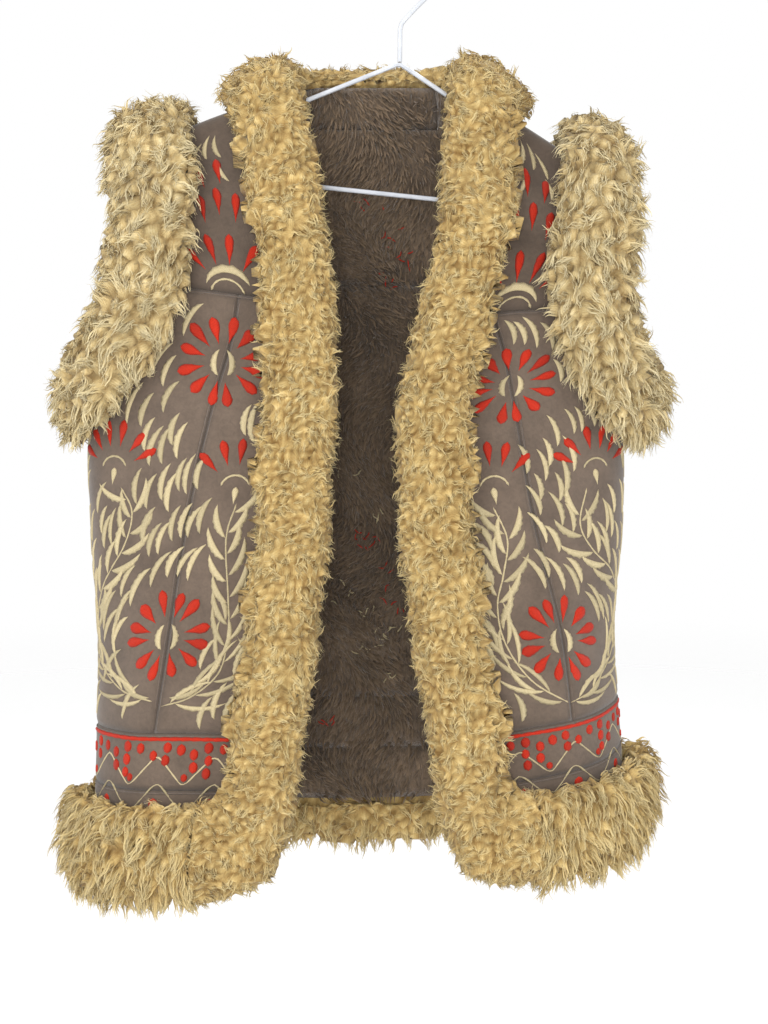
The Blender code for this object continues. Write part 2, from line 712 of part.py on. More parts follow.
def wire(name, points, coated, closed=False):
    """A round wire through points of the hanger's frame, as (x, z)."""
    curve = bpy.data.curves.new(name, "CURVE")
    curve.dimensions = "3D"
    curve.bevel_depth = WIRE / 2 * MM
    curve.bevel_resolution = 2
    curve.use_fill_caps = not closed
    spline = curve.splines.new("POLY")
    spline.points.add(len(points) - 1)
    for target, (x, z) in zip(spline.points, points):
        leaned_x, leaned_z = hanger_point(x, z)
        target.co = (leaned_x * MM, 0.0, leaned_z * MM, 1.0)
    spline.use_cyclic_u = closed
    curve.materials.append(coated)
    made = bpy.data.objects.new(name, curve)
    collection.objects.link(made)
    return made


def arc(centre_x, centre_z, radius, start, end, steps):
    """Points round a circle, with angles in degrees from +X towards +Z."""
    turns = [math.radians(start + (end - start) * k / steps) for k in range(steps + 1)]
    return [(centre_x + radius * math.cos(t), centre_z + radius * math.sin(t)) for t in turns]


def make_hanger(coated):
    """A plain coated wire hanger: a loop of two arms and a bar, and a hook on its stem."""
    slope = math.radians(HANGER_SLOPE)
    bar_z = HANGER_APEX - HANGER_HEIGHT
    end_drop = HANGER_HALF_WIDTH * math.tan(slope)
    bend = (HANGER_HEIGHT - end_drop) / (1 + math.cos(slope))
    centre_x = HANGER_HALF_WIDTH - bend
    right = arc(centre_x, bar_z + bend, bend, -90, 90 - HANGER_SLOPE, 8)
    left = [(-x, z) for x, z in reversed(right)]
    crown = arc(0, HANGER_APEX - 8, 8, 90 - HANGER_SLOPE, 90 + HANGER_SLOPE, 4)
    wire("hanger_frame", right + crown + left, coated, closed=True)

    bow = arc(0, WIRE / 2 - HOOK_RADIUS, HOOK_RADIUS, HOOK_START, HOOK_END, 22)
    wire("hanger_hook", HOOK_STEM + bow, coated)


for old in list(bpy.data.objects):
    bpy.data.objects.remove(old)
collection = bpy.data.collections.new("shearling_vest")
bpy.context.scene.collection.children.link(collection)

SUEDE = material("suede", (0.19, 0.14, 0.11), 0.95)
PILE = material("cream_pile", (0.73, 0.58, 0.32), 0.9)
COATED = material("coated_wire", (0.85, 0.87, 0.9), 0.35)

make_panels(SUEDE)
for wearer_side in ("right", "left"):
    front_strip(wearer_side, PILE)
    armhole_strip(wearer_side, PILE)
    hem_strip(wearer_side, PILE)
back_hem_strip(PILE)
collar_strip(PILE)
make_hanger(COATED)
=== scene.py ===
"""The look of the embroidered shearling vest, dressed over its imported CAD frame.

The maker's sizes are millimetres here, in the frame of the CAD: +Z up, the front facing -Y, and the origin
under the hanger's hook. Right and left are the wearer's. Each panel is placed by the cloth's own
coordinates: a share of its width, and a level along it above the hem.
"""

import math
from itertools import product

import bpy
import numpy as np
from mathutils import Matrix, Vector
from mathutils.bvhtree import BVHTree
from mathutils.kdtree import KDTree


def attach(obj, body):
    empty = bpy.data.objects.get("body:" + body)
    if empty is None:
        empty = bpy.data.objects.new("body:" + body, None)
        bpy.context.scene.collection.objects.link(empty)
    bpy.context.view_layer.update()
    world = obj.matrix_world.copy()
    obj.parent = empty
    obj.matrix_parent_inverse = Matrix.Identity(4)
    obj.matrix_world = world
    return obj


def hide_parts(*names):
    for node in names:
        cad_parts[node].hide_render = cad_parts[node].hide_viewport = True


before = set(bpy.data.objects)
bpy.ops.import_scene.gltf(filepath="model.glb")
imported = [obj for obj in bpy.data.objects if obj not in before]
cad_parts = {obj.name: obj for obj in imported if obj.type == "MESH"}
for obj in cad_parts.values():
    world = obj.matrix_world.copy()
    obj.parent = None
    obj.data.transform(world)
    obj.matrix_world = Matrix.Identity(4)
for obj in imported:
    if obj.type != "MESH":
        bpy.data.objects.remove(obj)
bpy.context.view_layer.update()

MM = 0.001
SEED = 1974

# Cut of the cloth, as in the CAD
WALL = 10.0
SEAM = 0.3
COLLAR_GAP = 0.5
WIRE = 4.0
HANGER_TILT = 6.0
HANGER_APEX = -107.0
HANGER_SLOPE = 26.0
HEM, BAND, BORDER, HIP, WAIST, UNDERARM = 0.0, 49.0, 98.0, 176.0, 252.0, 387.0
ARMHOLE, YOKE, UPPER, COLLAR, RIDGE = 428.0, 466.0, 541.0, 612.0, 647.7
ARCH = 15.0
ARCH_TURNS = [math.radians(angle) for angle in (90, 60, 30, 0)]
SHOULDER = RIDGE - ARCH * ARCH_TURNS[0]
NECK_RIGHT, NECK_LEFT = -113.0, 47.0
SHOULDER_RIGHT, SHOULDER_LEFT = -246.0, 179.0
NECK_BLEND = 0.14
NECK_DEPTH = 17.0
NECK_BACK_Z = -123.0

# (level, edge x, edge y, edge z, side x, side y, side z, how far the side is squared)
RIGHT_ROWS = [
    (HEM, -125, -80, -770, -283, 0, -780, 0.62),
    (BAND, -120, -78, -720, -281, 0, -729, 0.62),
    (BORDER, -114, -76, -672, -279, 0, -678, 0.62),
    (HIP, -103, -70, -594, -277, 0, -604, 0.62),
    (WAIST, -95, -66, -518, -281, 0, -521, 0.62),
    (UNDERARM, -88, -61, -386, -280, 0, -384, 0.66),
    (ARMHOLE, -87, -57, -348, -274, 0, -334, 0.66),
    (YOKE, -89, -53, -312, -266, 0, -286, 0.66),
    (UPPER, -98, -40, -232, -254, 0, -226, 0.66),
]
LEFT_ROWS = [
    (HEM, 48, -82, -764, 191, 14, -738, 0.62),
    (BAND, 42, -80, -720, 188, 14, -696, 0.62),
    (BORDER, 37, -78, -676, 184, 12, -654, 0.62),
    (HIP, 23, -72, -594, 180, 9, -587, 0.62),
    (WAIST, 14, -66, -518, 185, 4, -508, 0.62),
    (UNDERARM, 12, -61, -390, 185, 0, -386, 0.66),
    (ARMHOLE, 19, -57, -356, 187, 0, -350, 0.66),
    (YOKE, 28, -52, -322, 190, 0, -310, 0.66),
    (UPPER, 45, -40, -240, 186, 0, -250, 0.66),
]
# (level, depth at the centre, height at the centre, how far the neck is level)
BACK_ROWS = [
    (HEM, 64, -764, 0.0),
    (BAND, 64, -716, 0.0),
    (BORDER, 62, -668, 0.0),
    (HIP, 58, -592, 0.0),
    (WAIST, 54, -514, 0.0),
    (UNDERARM, 56, -384, 0.0),
    (ARMHOLE, 54, -340, 0.0),
    (YOKE, 48, -292, 0.15),
    (UPPER, 36, -216, 0.6),
]
# (level, front inset, back inset) of the armhole's edge from the side line
ARMHOLE_ROWS = [
    (UNDERARM, 0, 0),
    (UNDERARM + 3, 13, 11),
    (UNDERARM + 11, 26, 23),
    (UNDERARM + 24, 38, 34),
    (ARMHOLE, 47, 42),
    (YOKE, 54, 47),
    (UPPER, 43, 40),
    (SHOULDER, 25, 25),
    (RIDGE, 21, 21),
]
# (level, share of the panel seam on the right front, and on the left)
SEAM_ROWS = [
    (BORDER, 0.54, 0.53),
    (HIP, 0.52, 0.54),
    (WAIST, 0.475, 0.465),
    (UNDERARM, 0.355, 0.36),
    (ARMHOLE, 0.312, 0.30),
    (YOKE, 0.29, 0.21),
    (RIDGE, 0.29, 0.21),
]
# (panel, share across, level, half width across, half length, depth towards the viewer)
FOLDS = [
    ("right", 0.62, 150, 26, 110, 4.0),
    ("right", 0.88, 255, 18, 60, 3.0),
    ("right", 0.40, 60, 30, 80, -3.0),
    ("left", 0.55, 170, 24, 120, 4.5),
    ("left", 0.80, 80, 20, 90, -3.5),
    ("left", 0.86, 300, 18, 50, 3.0),
    ("back", 0.30, 110, 30, 130, 5.0),
    ("back", 0.45, 60, 24, 90, -4.0),
    ("back", 0.62, 120, 28, 140, 5.0),
    ("back", 0.78, 90, 26, 120, -4.0),
    ("back", 0.50, 330, 60, 120, -4.0),
]
FOLD_SIDE, FOLD_TOP = 50, 80
# Collar band's ends, as shares of the back between its armholes
COLLAR_ENDS = (0.355, 0.645)

# Finer relief of the suede: (panel, share, level, turn from level in degrees, half length, half width, depth)
CREASES = [
    ("right", 0.55, 372, 24, 34, 4.0, -1.1),
    ("right", 0.78, 352, 38, 30, 4.5, -1.3),
    ("right", 0.86, 236, 12, 26, 4.0, -0.9),
    ("right", 0.40, 262, -16, 30, 4.0, -0.8),
    ("right", 0.66, 118, 8, 34, 5.0, -1.0),
    ("right", 0.30, 40, -8, 28, 5.0, -0.9),
    ("left", 0.52, 360, -26, 30, 4.0, -1.1),
    ("left", 0.80, 344, -40, 28, 4.5, -1.4),
    ("left", 0.88, 214, -10, 26, 4.0, -1.0),
    ("left", 0.38, 246, 18, 32, 4.0, -0.8),
    ("left", 0.62, 132, -9, 36, 5.0, -1.1),
    ("left", 0.36, 30, 7, 30, 5.0, -0.8),
    ("back", 0.22, 350, 30, 46, 5.5, -1.6),
    ("back", 0.78, 352, -32, 44, 5.5, -1.6),
    ("back", 0.36, 262, 9, 52, 6.0, -1.3),
    ("back", 0.66, 244, -7, 60, 6.0, -1.3),
    ("back", 0.50, 168, 4, 70, 6.5, -1.2),
    ("back", 0.28, 60, -6, 40, 6.0, -1.0),
    ("back", 0.70, 40, 8, 44, 6.0, -1.0),
]
# Creases of the wool inside the back: (share, level, turn, half length, half width, depth)
LINING_CREASES = [
    (0.47, 194, 9, 52, 5.0, -3.0),
    (0.54, 132, -7, 44, 4.5, -2.6),
    (0.49, 262, 5, 34, 5.0, -1.8),
    (0.45, 340, 74, 40, 5.5, -1.9),
    (0.52, 420, 12, 38, 5.0, -1.6),
    (0.50, 74, 4, 46, 5.0, -1.8),
]
SUEDE_THICKNESS = 1.2
SUEDE_STEP = 5.6
WOOL_START, WOOL_DEPTH = 1.5, 8.6
WOOL_STEP = {"back": 5.2, "right": 8.0, "left": 8.0}
# The wool runs on past its seams by half of this, so that no light comes through them
WOOL_OVERLAP = 0.3
# How far apart a normal's neighbours are, as a share and in level, and where its share is at an end
NORMAL_SHARE, NORMAL_LEVEL, FRONT_END, BACK_END = 0.004, 0.6, 0.985, 0.008
CHUNK = 16384
DOWN = np.array([0.0, 0.0, -1.0])


def smooth(t):
    t = np.clip(t, 0.0, 1.0)
    return t * t * (3 - 2 * t)


def unit(vectors):
    return vectors / np.maximum(np.linalg.norm(vectors, axis=-1, keepdims=True), 1e-12)


def heading(angle):
    return np.array([math.cos(angle), math.sin(angle)])


def length_along(line):
    """How far each point of a line is from its start."""
    return np.concatenate([[0], np.cumsum(np.linalg.norm(np.diff(line, axis=0), axis=1))])


def crease(u, v, turn, half_length, half_width):
    """How much of a crease's depth reaches a place (u, v) from its middle, when it is turned by degrees."""
    cosine, sine = math.cos(math.radians(turn)), math.sin(math.radians(turn))
    on, off = (u * cosine + v * sine) / half_length, (v * cosine - u * sine) / half_width
    return np.exp(-on * on - off * off)


class Table:
    """Rows of sizes, read smoothly at any number of levels. Its level_columns end level at the ridge."""

    def __init__(self, rows, level_columns=()):
        data = np.array(rows, float)
        self.levels, self.values = data[:, 0], data[:, 1:]
        step = np.diff(self.levels)[:, None]
        rise = np.diff(self.values, axis=0) / step
        inner = (rise[:-1] * step[1:] + rise[1:] * step[:-1]) / (step[:-1] + step[1:])
        self.tangents = np.vstack([rise[:1], inner, rise[-1:]])
        self.tangents[-1, list(level_columns)] = 0.0

    def at(self, level):
        level = np.asarray(level, float)
        i = np.clip(np.searchsorted(self.levels, level) - 1, 0, len(self.levels) - 2)
        span = (self.levels[i + 1] - self.levels[i])[:, None]
        t = (level - self.levels[i])[:, None] / span
        return (
            self.values[i] * (1 + 2 * t) * (1 - t) ** 2
            + self.values[i + 1] * t * t * (3 - 2 * t)
            + self.tangents[i] * span * t * (1 - t) ** 2
            + self.tangents[i + 1] * span * t * t * (t - 1)
        )


def shoulder_z(x, side):
    """Height of the shoulder line over one of the hanger's arms, where side is -1 or 1."""
    lean = math.radians(HANGER_TILT)
    apex_x, apex_z = HANGER_APEX * math.sin(lean), HANGER_APEX * math.cos(lean)
    slope = math.radians(HANGER_SLOPE + side * HANGER_TILT)
    return apex_z - abs(x - apex_x) * math.tan(slope) + (WIRE / 2 + SEAM + WALL) / math.cos(slope)


def with_shoulder(rows, neck_x, side_x, side):
    neck_z, end_z = shoulder_z(neck_x, side), shoulder_z(side_x, side)
    over = []
    for turn in ARCH_TURNS:
        depth, drop = ARCH * math.sin(turn), ARCH * (1 - math.cos(turn))
        over.append((RIDGE - ARCH * turn, neck_x, -depth, neck_z - drop, side_x, 0, end_z - drop, 1.0))
    return rows + over


def with_neck(rows):
    arch = [
        (RIDGE - ARCH * turn, ARCH * math.sin(turn), NECK_BACK_Z - ARCH * (1 - math.cos(turn)))
        for turn in ARCH_TURNS
    ]
    band = [(depth, height) for _, depth, height, _ in rows]
    band += [(NECK_DEPTH + 0.15 * (RIDGE - level), NECK_BACK_Z - (RIDGE - level)) for level, *_ in arch]
    return [(*row, *upright) for row, upright in zip(rows + [(*row, 1.0) for row in arch], band)]


EDGE_X, EDGE_Y, EDGE_Z, SIDE_X, SIDE_Y, SIDE_Z, SQUARE = range(7)
LEVEL_AT_RIDGE = (EDGE_X, EDGE_Z, SIDE_X, SIDE_Z, SQUARE)
FRONT_TABLES = {
    "right": Table(with_shoulder(RIGHT_ROWS, NECK_RIGHT, SHOULDER_RIGHT, -1), LEVEL_AT_RIDGE),
    "left": Table(with_shoulder(LEFT_ROWS, NECK_LEFT, SHOULDER_LEFT, 1), LEVEL_AT_RIDGE),
}
BACK_TABLE = Table(with_neck(BACK_ROWS), (1, 2))
ARMHOLE_TABLE = Table(ARMHOLE_ROWS)
SEAM_TABLE = Table(SEAM_ROWS)
SHOULDER_HALF = (SHOULDER_LEFT - SHOULDER_RIGHT) / 2


def shoulder_share(right):
    """The shoulder's length as a share of half the back, on its right or its left."""
    return np.where(right, NECK_RIGHT - SHOULDER_RIGHT, SHOULDER_LEFT - NECK_LEFT) / SHOULDER_HALF


def quarter(start, way, end, square, share):
    """Points at shares of rounded plan curves that leave along X and arrive along Y, and their lengths."""
    reach = np.abs(end[:, 0] - start[:, 0])
    first = start + np.stack([way * square * reach, 0 * reach], axis=1)
    second = end + np.stack([0 * reach, (start[:, 1] - end[:, 1]) * square], axis=1)
    t = np.linspace(0, 1, 49)[None, :, None]
    line = (
        start[:, None] * (1 - t) ** 3
        + 3 * first[:, None] * t * (1 - t) ** 2
        + 3 * second[:, None] * t * t * (1 - t)
        + end[:, None] * t**3
    )
    steps = np.linalg.norm(np.diff(line, axis=1), axis=2)
    along = np.concatenate([np.zeros((len(share), 1)), np.cumsum(steps, axis=1)], axis=1)
    wanted = share * along[:, -1]
    rows = np.arange(len(share))
    k = np.clip((along <= wanted[:, None]).sum(axis=1) - 1, 0, line.shape[1] - 2)
    f = ((wanted - along[rows, k]) / np.maximum(steps[rows, k], 1e-9))[:, None]
    return line[rows, k] * (1 - f) + line[rows, k + 1] * f, along[:, -1]


def fold(panel, share, level, length):
    """How far the folds of a panel lift it. They fade out at the side line and the top."""
    lift = np.zeros(len(share))
    for name, across, along, half_width, half_length, depth in FOLDS:
        if name == panel:
            off = (share - across) * length / half_width
            lift += depth * np.exp(-off * off - ((level - along) / half_length) ** 2)
    ends = np.minimum(1 - share, share) if panel == "back" else 1 - share
    return lift * smooth(ends * length / FOLD_SIDE) * smooth((SHOULDER - level) / FOLD_TOP)


def front_points(panel, share, level):
    row = FRONT_TABLES[panel].at(level)
    way = -1.0 if panel == "right" else 1.0
    plan, length = quarter(row[:, [EDGE_X, EDGE_Y]], way, row[:, [SIDE_X, SIDE_Y]], row[:, SQUARE], share)
    z = row[:, EDGE_Z] + (row[:, SIDE_Z] - row[:, EDGE_Z]) * share
    return np.stack([plan[:, 0], plan[:, 1] - fold(panel, share, level, length), z], axis=1), length


def back_points(share, level):
    right = share < 0.5
    rows = {name: table.at(level) for name, table in FRONT_TABLES.items()}
    row = np.where(right[:, None], rows["right"], rows["left"])
    other = np.where(right[:, None], rows["left"], rows["right"])
    shoulder = shoulder_share(right)
    depth, centre_z, neck_level, band_depth, band_z = BACK_TABLE.at(level).T
    inwards = 2 * np.minimum(share, 1 - share)
    centre = np.stack([(row[:, SIDE_X] + other[:, SIDE_X]) / 2, depth], axis=1)
    way = np.where(right, -1.0, 1.0)
    plan, half = quarter(centre, way, row[:, [SIDE_X, SIDE_Y]], row[:, SQUARE], 1 - inwards)
    sloping = (centre_z - row[:, SIDE_Z]) * inwards
    levelled = (row[:, EDGE_Z] - row[:, SIDE_Z]) * np.minimum(1.0, inwards / shoulder)
    z = row[:, SIDE_Z] + sloping + (levelled - sloping) * neck_level
    y = plan[:, 1] + fold("back", share, level, 2 * half)
    rise = smooth((inwards - shoulder) / NECK_BLEND)
    return np.stack([plan[:, 0], y + (band_depth - depth) * rise, z + (band_z - z) * rise], axis=1), 2 * half


def cloth(panel, share, level):
    """Points of a panel's outer face, and the cloth's length across the panel at each."""
    share, level = np.broadcast_arrays(np.asarray(share, float), np.asarray(level, float))
    shape = share.shape
    share, level = share.ravel(), level.ravel()
    places, lengths = [], []
    for k in range(0, max(len(share), 1), CHUNK):
        part = slice(k, k + CHUNK)
        near = share[part], level[part]
        place, length = back_points(*near) if panel == "back" else front_points(panel, *near)
        places.append(place)
        lengths.append(length)
    return np.concatenate(places).reshape(*shape, 3), np.concatenate(lengths).reshape(shape)


def width_at(panel, level):
    return cloth(panel, 0.5, level)[1]


def surface(panel, share, level):
    """Points of a panel's outer face, and its unit normals there."""
    return cloth(panel, share, level)[0], normals(panel, share, level)


def normals(panel, share, level):
    """Outward unit normals of a panel."""
    share, level = np.broadcast_arrays(np.asarray(share, float), np.asarray(level, float))
    low, high = np.maximum(share - NORMAL_SHARE, 0.0), np.minimum(share + NORMAL_SHARE, 1.0)
    down, up = np.maximum(level - NORMAL_LEVEL, HEM), np.minimum(level + NORMAL_LEVEL, RIDGE)
    across = cloth(panel, high, level)[0] - cloth(panel, low, level)[0]
    rise = cloth(panel, share, up)[0] - cloth(panel, share, down)[0]
    # At the side lines a panel turns to face sideways, and at its top it lies over the shoulder
    over = np.array([0.0, 1.0, 0.0])
    if panel == "back":
        ends = np.minimum(share, 1 - share) < BACK_END
        turned = np.where((share < 0.5)[..., None], 1.0, -1.0) * over
        shoulder = shoulder_share(share < 0.5)
        upright = smooth((2 * np.minimum(share, 1 - share) - shoulder) / NECK_BLEND)[..., None]
        over = -over
    else:
        ends, turned, upright = share > FRONT_END, over, np.zeros((*share.shape, 1))
    across = np.where((ends & (level <= UNDERARM))[..., None], turned, across)
    top = (level > RIDGE - 1)[..., None]
    rise = np.where(top, over * (1 - upright) + unit(rise) * upright, rise)
    out = np.cross(across, rise)
    return unit(-out if panel in ("right", "back") else out)


def armhole_share(panel, level, side=None):
    """The share at which a panel ends: at the side line, or at the armhole above it."""
    level = np.asarray(level, float)
    inset = ARMHOLE_TABLE.at(np.clip(level, UNDERARM, RIDGE))[:, 1 if panel == "back" else 0]
    inset = np.where(level <= UNDERARM, 0.0, np.maximum(inset, 0.0)) / width_at(panel, level)
    return inset if side == "right" else 1 - inset


def last_u(panel, level, side=None):
    """How far across a panel's end lies at one level, in millimetres."""
    level = np.array([float(level)])
    return float((armhole_share(panel, level, side) * width_at(panel, level))[0])


def seam_share(panel, level):
    return SEAM_TABLE.at(np.clip(level, BORDER, RIDGE))[:, 0 if panel == "right" else 1]


def span(panel, part, level, seam_gap=SEAM):
    """First and last share of a part of a panel at levels, each half a seam's gap in."""
    width = width_at(panel, level)
    gap = seam_gap / 2 / width
    if panel == "back":
        start = armhole_share("back", level, "right") + gap
        end = armhole_share("back", level, "left") - gap
        if part == "collar":
            first, last = COLLAR_ENDS
            inset = COLLAR_GAP / width
            return start + (end - start) * first + inset, start + (end - start) * last - inset
        return start, end
    seam, end = seam_share(panel, level), armhole_share(panel, level)
    side = np.where(level <= UNDERARM, end - gap, end)
    return {"whole": (0 * seam, side), "centre": (0 * seam, seam - gap), "side": (seam + gap, side)}[part]


def relief(panel, share, level, length):
    """The suede's creases and slow unevenness, in millimetres along its normal."""
    lift = 0.35 * np.sin(share * length / 13 + 1.7 * np.sin(level / 31)) * np.sin(level / 17 + share * 9)
    for name, across, along, turn, half_length, half_width, depth in CREASES:
        if name == panel:
            u = (share - across) * length
            lift += depth * crease(u, level - along, turn, half_length, half_width)
    return lift


def grid(panel, part, low, high, step, gap=SEAM):
    """Shares and levels of a fine grid over a part, and each point's distance to the part's cut edges."""
    rows = max(4, round((high - low) / step))
    level = np.linspace(low + (gap / 2 if low > HEM else 0.0), high - gap / 2, rows + 1)
    start, end = span(panel, part, level, gap)
    width = width_at(panel, level)
    columns = max(6, round(float(((end - start) * width).max()) / step))
    t = np.linspace(0, 1, columns + 1)
    share = start[:, None] + (end - start)[:, None] * t
    levels = np.repeat(level[:, None], columns + 1, axis=1)
    first, last = (share - share[:, :1]) * width[:, None], (share[:, -1:] - share) * width[:, None]
    return share, levels, width[:, None], np.minimum.reduce([first, last, levels - low, high - levels])


def in_scene(name, data):
    made = bpy.data.objects.new(name, data)
    bpy.context.scene.collection.objects.link(made)
    return made


def add_object(name, places, faces, material, slot, values):
    """A mesh in millimetres as a piece that rides on the vest, with a value a point for its material."""
    mesh = bpy.data.meshes.new(name)
    mesh.from_pydata((np.asarray(places) * MM).tolist(), [], faces)
    for key, numbers in values.items():
        attribute = mesh.attributes.new(key, "FLOAT", "POINT")
        attribute.data.foreach_set("value", np.asarray(numbers, np.float32).ravel())
    mesh.materials.append(material)
    mesh.shade_smooth()
    made = in_scene(name, mesh)
    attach(made, "root")
    return made


def cell_corners(number, r, c):
    """The numbers of the four points round each of a grid's cells."""
    return [number[r, c], number[r, c + 1], number[r + 1, c + 1], number[r + 1, c]]


def slab(outer, inner, cells):
    """Points and quads of a closed slab between two grids of points, over the cells kept."""
    rows, columns = outer.shape[:2]
    number = np.arange(rows * columns).reshape(rows, columns)
    r, c = np.nonzero(cells)
    corners = cell_corners(number, r, c)
    faces = [np.stack(corners, axis=1), np.stack(corners[::-1], axis=1) + rows * columns]
    padded = np.pad(cells, 1)
    beside = [padded[r, c + 1], padded[r + 1, c + 2], padded[r + 2, c + 1], padded[r + 1, c]]
    for side, there in enumerate(beside):
        a, b = corners[side][~there], corners[(side + 1) % 4][~there]
        faces.append(np.stack([b, a, a + rows * columns, b + rows * columns], axis=1))
    faces = np.concatenate(faces)
    used, faces = np.unique(faces, return_inverse=True)
    places = np.concatenate([outer.reshape(-1, 3), inner.reshape(-1, 3)])[used]
    return places, faces.reshape(-1, 4), used


def outwards(faces, places, towards):
    """The quads turned so that the first of them faces the way given."""
    a, b, _, d = (places[k] for k in faces[0])
    return faces if np.dot(np.cross(b - a, d - a), towards) > 0 else faces[:, ::-1]


# (node, panel, part, low, high)
PANELS = [
    (f"front_{side}_{piece}", side, part, low, high)
    for piece, part, low, high in (
        ("hem_band", "whole", HEM, BAND),
        ("border", "whole", BAND, BORDER),
        ("centre", "centre", BORDER, YOKE),
        ("side", "side", BORDER, YOKE),
        ("yoke", "whole", YOKE, RIDGE),
    )
    for side in ("right", "left")
] + [
    ("back_hem_band", "back", "whole", HEM, BAND),
    ("back_border", "back", "whole", BAND, BORDER),
    ("back_body", "back", "whole", BORDER, YOKE),
    ("back_yoke", "back", "whole", YOKE, RIDGE),
    ("collar_band", "back", "collar", COLLAR, RIDGE),
]


def kept_cells(node, share, level):
    """The cells of a panel's grid that are cloth: all but the collar band's place in the back yoke."""
    kept = np.ones((share.shape[0] - 1, share.shape[1] - 1), bool)
    if node == "back_yoke":
        start, end = span("back", "collar", level[:, 0])
        middle = (share[:, 1:] + share[:, :-1]) / 2
        inside = (middle > start[:, None]) & (middle < end[:, None])
        kept = ~(inside[:-1] & (level[:-1, :1] > COLLAR - SUEDE_STEP / 2))
    return kept


def snapped(node, share, level):
    """The back yoke's grid with its nearest lines moved onto the collar band's edges."""
    if node != "back_yoke":
        return share, level
    level, share = level.copy(), share.copy()
    row = np.abs(level[:, 0] - COLLAR).argmin()
    level[row] = COLLAR
    start, end = span("back", "collar", level[:, 0])
    half_gap = COLLAR_GAP / width_at("back", level[:, 0])
    for target in (start - half_gap, end + half_gap):
        column = np.abs(share[row] - target[row]).argmin()
        share[:, column] = target
    return share, level


def layer(node, panel, part, low, high, step, gap=SEAM):
    """A grid over a panel's part, with the panel's points and normals there, and the cells that are cloth."""
    share, level, width, edge = grid(panel, part, low, high, step, gap)
    share, level = snapped(node, share, level)
    place, out = surface(panel, share, level)
    return share, level, width, edge, place, out, kept_cells(node, share, level)


def make_slab(name, outer, inner, kept, material, key, values, out):
    places, faces, used = slab(outer, inner, kept)
    values = {key: np.concatenate([part.ravel() for part in values])[used]}
    return add_object(name, places, outwards(faces, places, out[0, 0]).tolist(), material, "suede", values)


def make_panels(suede, yoke_suede, wool):
    """A thin suede shell and a wool layer behind it for each panel."""
    for node, panel, part, low, high in PANELS:
        share, level, width, edge, place, out, kept = layer(node, panel, part, low, high, SUEDE_STEP)
        # The cut edges are turned in, with a low roll beside them
        turned_in = -0.8 * np.exp(-((edge / 1.6) ** 2)) + 0.4 * np.exp(-(((edge - 4.5) / 2.2) ** 2))
        lift = relief(panel, share, level, width) * smooth(edge / 8) + turned_in
        face = place + out * lift[..., None]
        # The suede is darker within a few millimetres of each cut edge
        edge_darkening_and_stitch_shade = np.exp(-edge / 4)
        skin = yoke_suede if node.endswith("yoke") else suede
        back = place - out * SUEDE_THICKNESS
        shell = make_slab(f"suede_{node}", face, back, kept, skin, "edge", (edge_darkening_and_stitch_shade, edge_darkening_and_stitch_shade), out)
        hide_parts(node)
        across = float(((share[:, -1] - share[:, 0]) * width[:, 0]).max())
        area = float(slab_area(face, kept))

        top = min(high, RIDGE - 0.2)
        share, level, width, edge, place, out, kept = layer(
            node, panel, part, low, top, WOOL_STEP[panel], -WOOL_OVERLAP
        )
        rounding = WOOL_DEPTH * (1 - 0.45 * np.exp(-((edge / 5) ** 2)))
        tufts = tuft_height(panel, share, share * width, level)
        front, back = place - out * WOOL_START, place - out * (rounding + tufts * smooth(edge / 4))[..., None]
        lining = make_slab(f"wool_{node}", front, back, kept, wool, "tuft", (0 * tufts, tufts), out)
        flat = (across / 1000, (high - low) / 1000)
        area = min(area / 1e6, flat[0] * flat[1])


def slab_area(face, cells):
    """The area of a grid of points, in square millimetres, over the cells kept."""
    a, b, c, d = face[:-1, :-1], face[:-1, 1:], face[1:, 1:], face[1:, :-1]
    quads = np.linalg.norm(np.cross(b - a, c - a), axis=2) + np.linalg.norm(np.cross(c - a, d - a), axis=2)
    return (quads[cells] / 2).sum()


def tuft_height(panel, share, across, level):
    """Uneven nap and soft creases of the sheared wool, in millimetres."""
    wobble = 4 * np.sin(level / 23 + across / 37)
    fine = np.sin((across + wobble) / 3.1) * np.sin(level / 4.3 + across / 9)
    broad = np.sin(across / 15 + 2 * np.sin(level / 40)) * np.sin(level / 19 + 1.3)
    lift = 0.6 * fine + 0.9 * broad
    if panel == "back":
        for middle, along, turn, half_length, half_width, depth in LINING_CREASES:
            u = across - middle * across / np.maximum(share, 1e-3)
            lift += depth * crease(u, level - along, turn, half_length, half_width)
    return lift


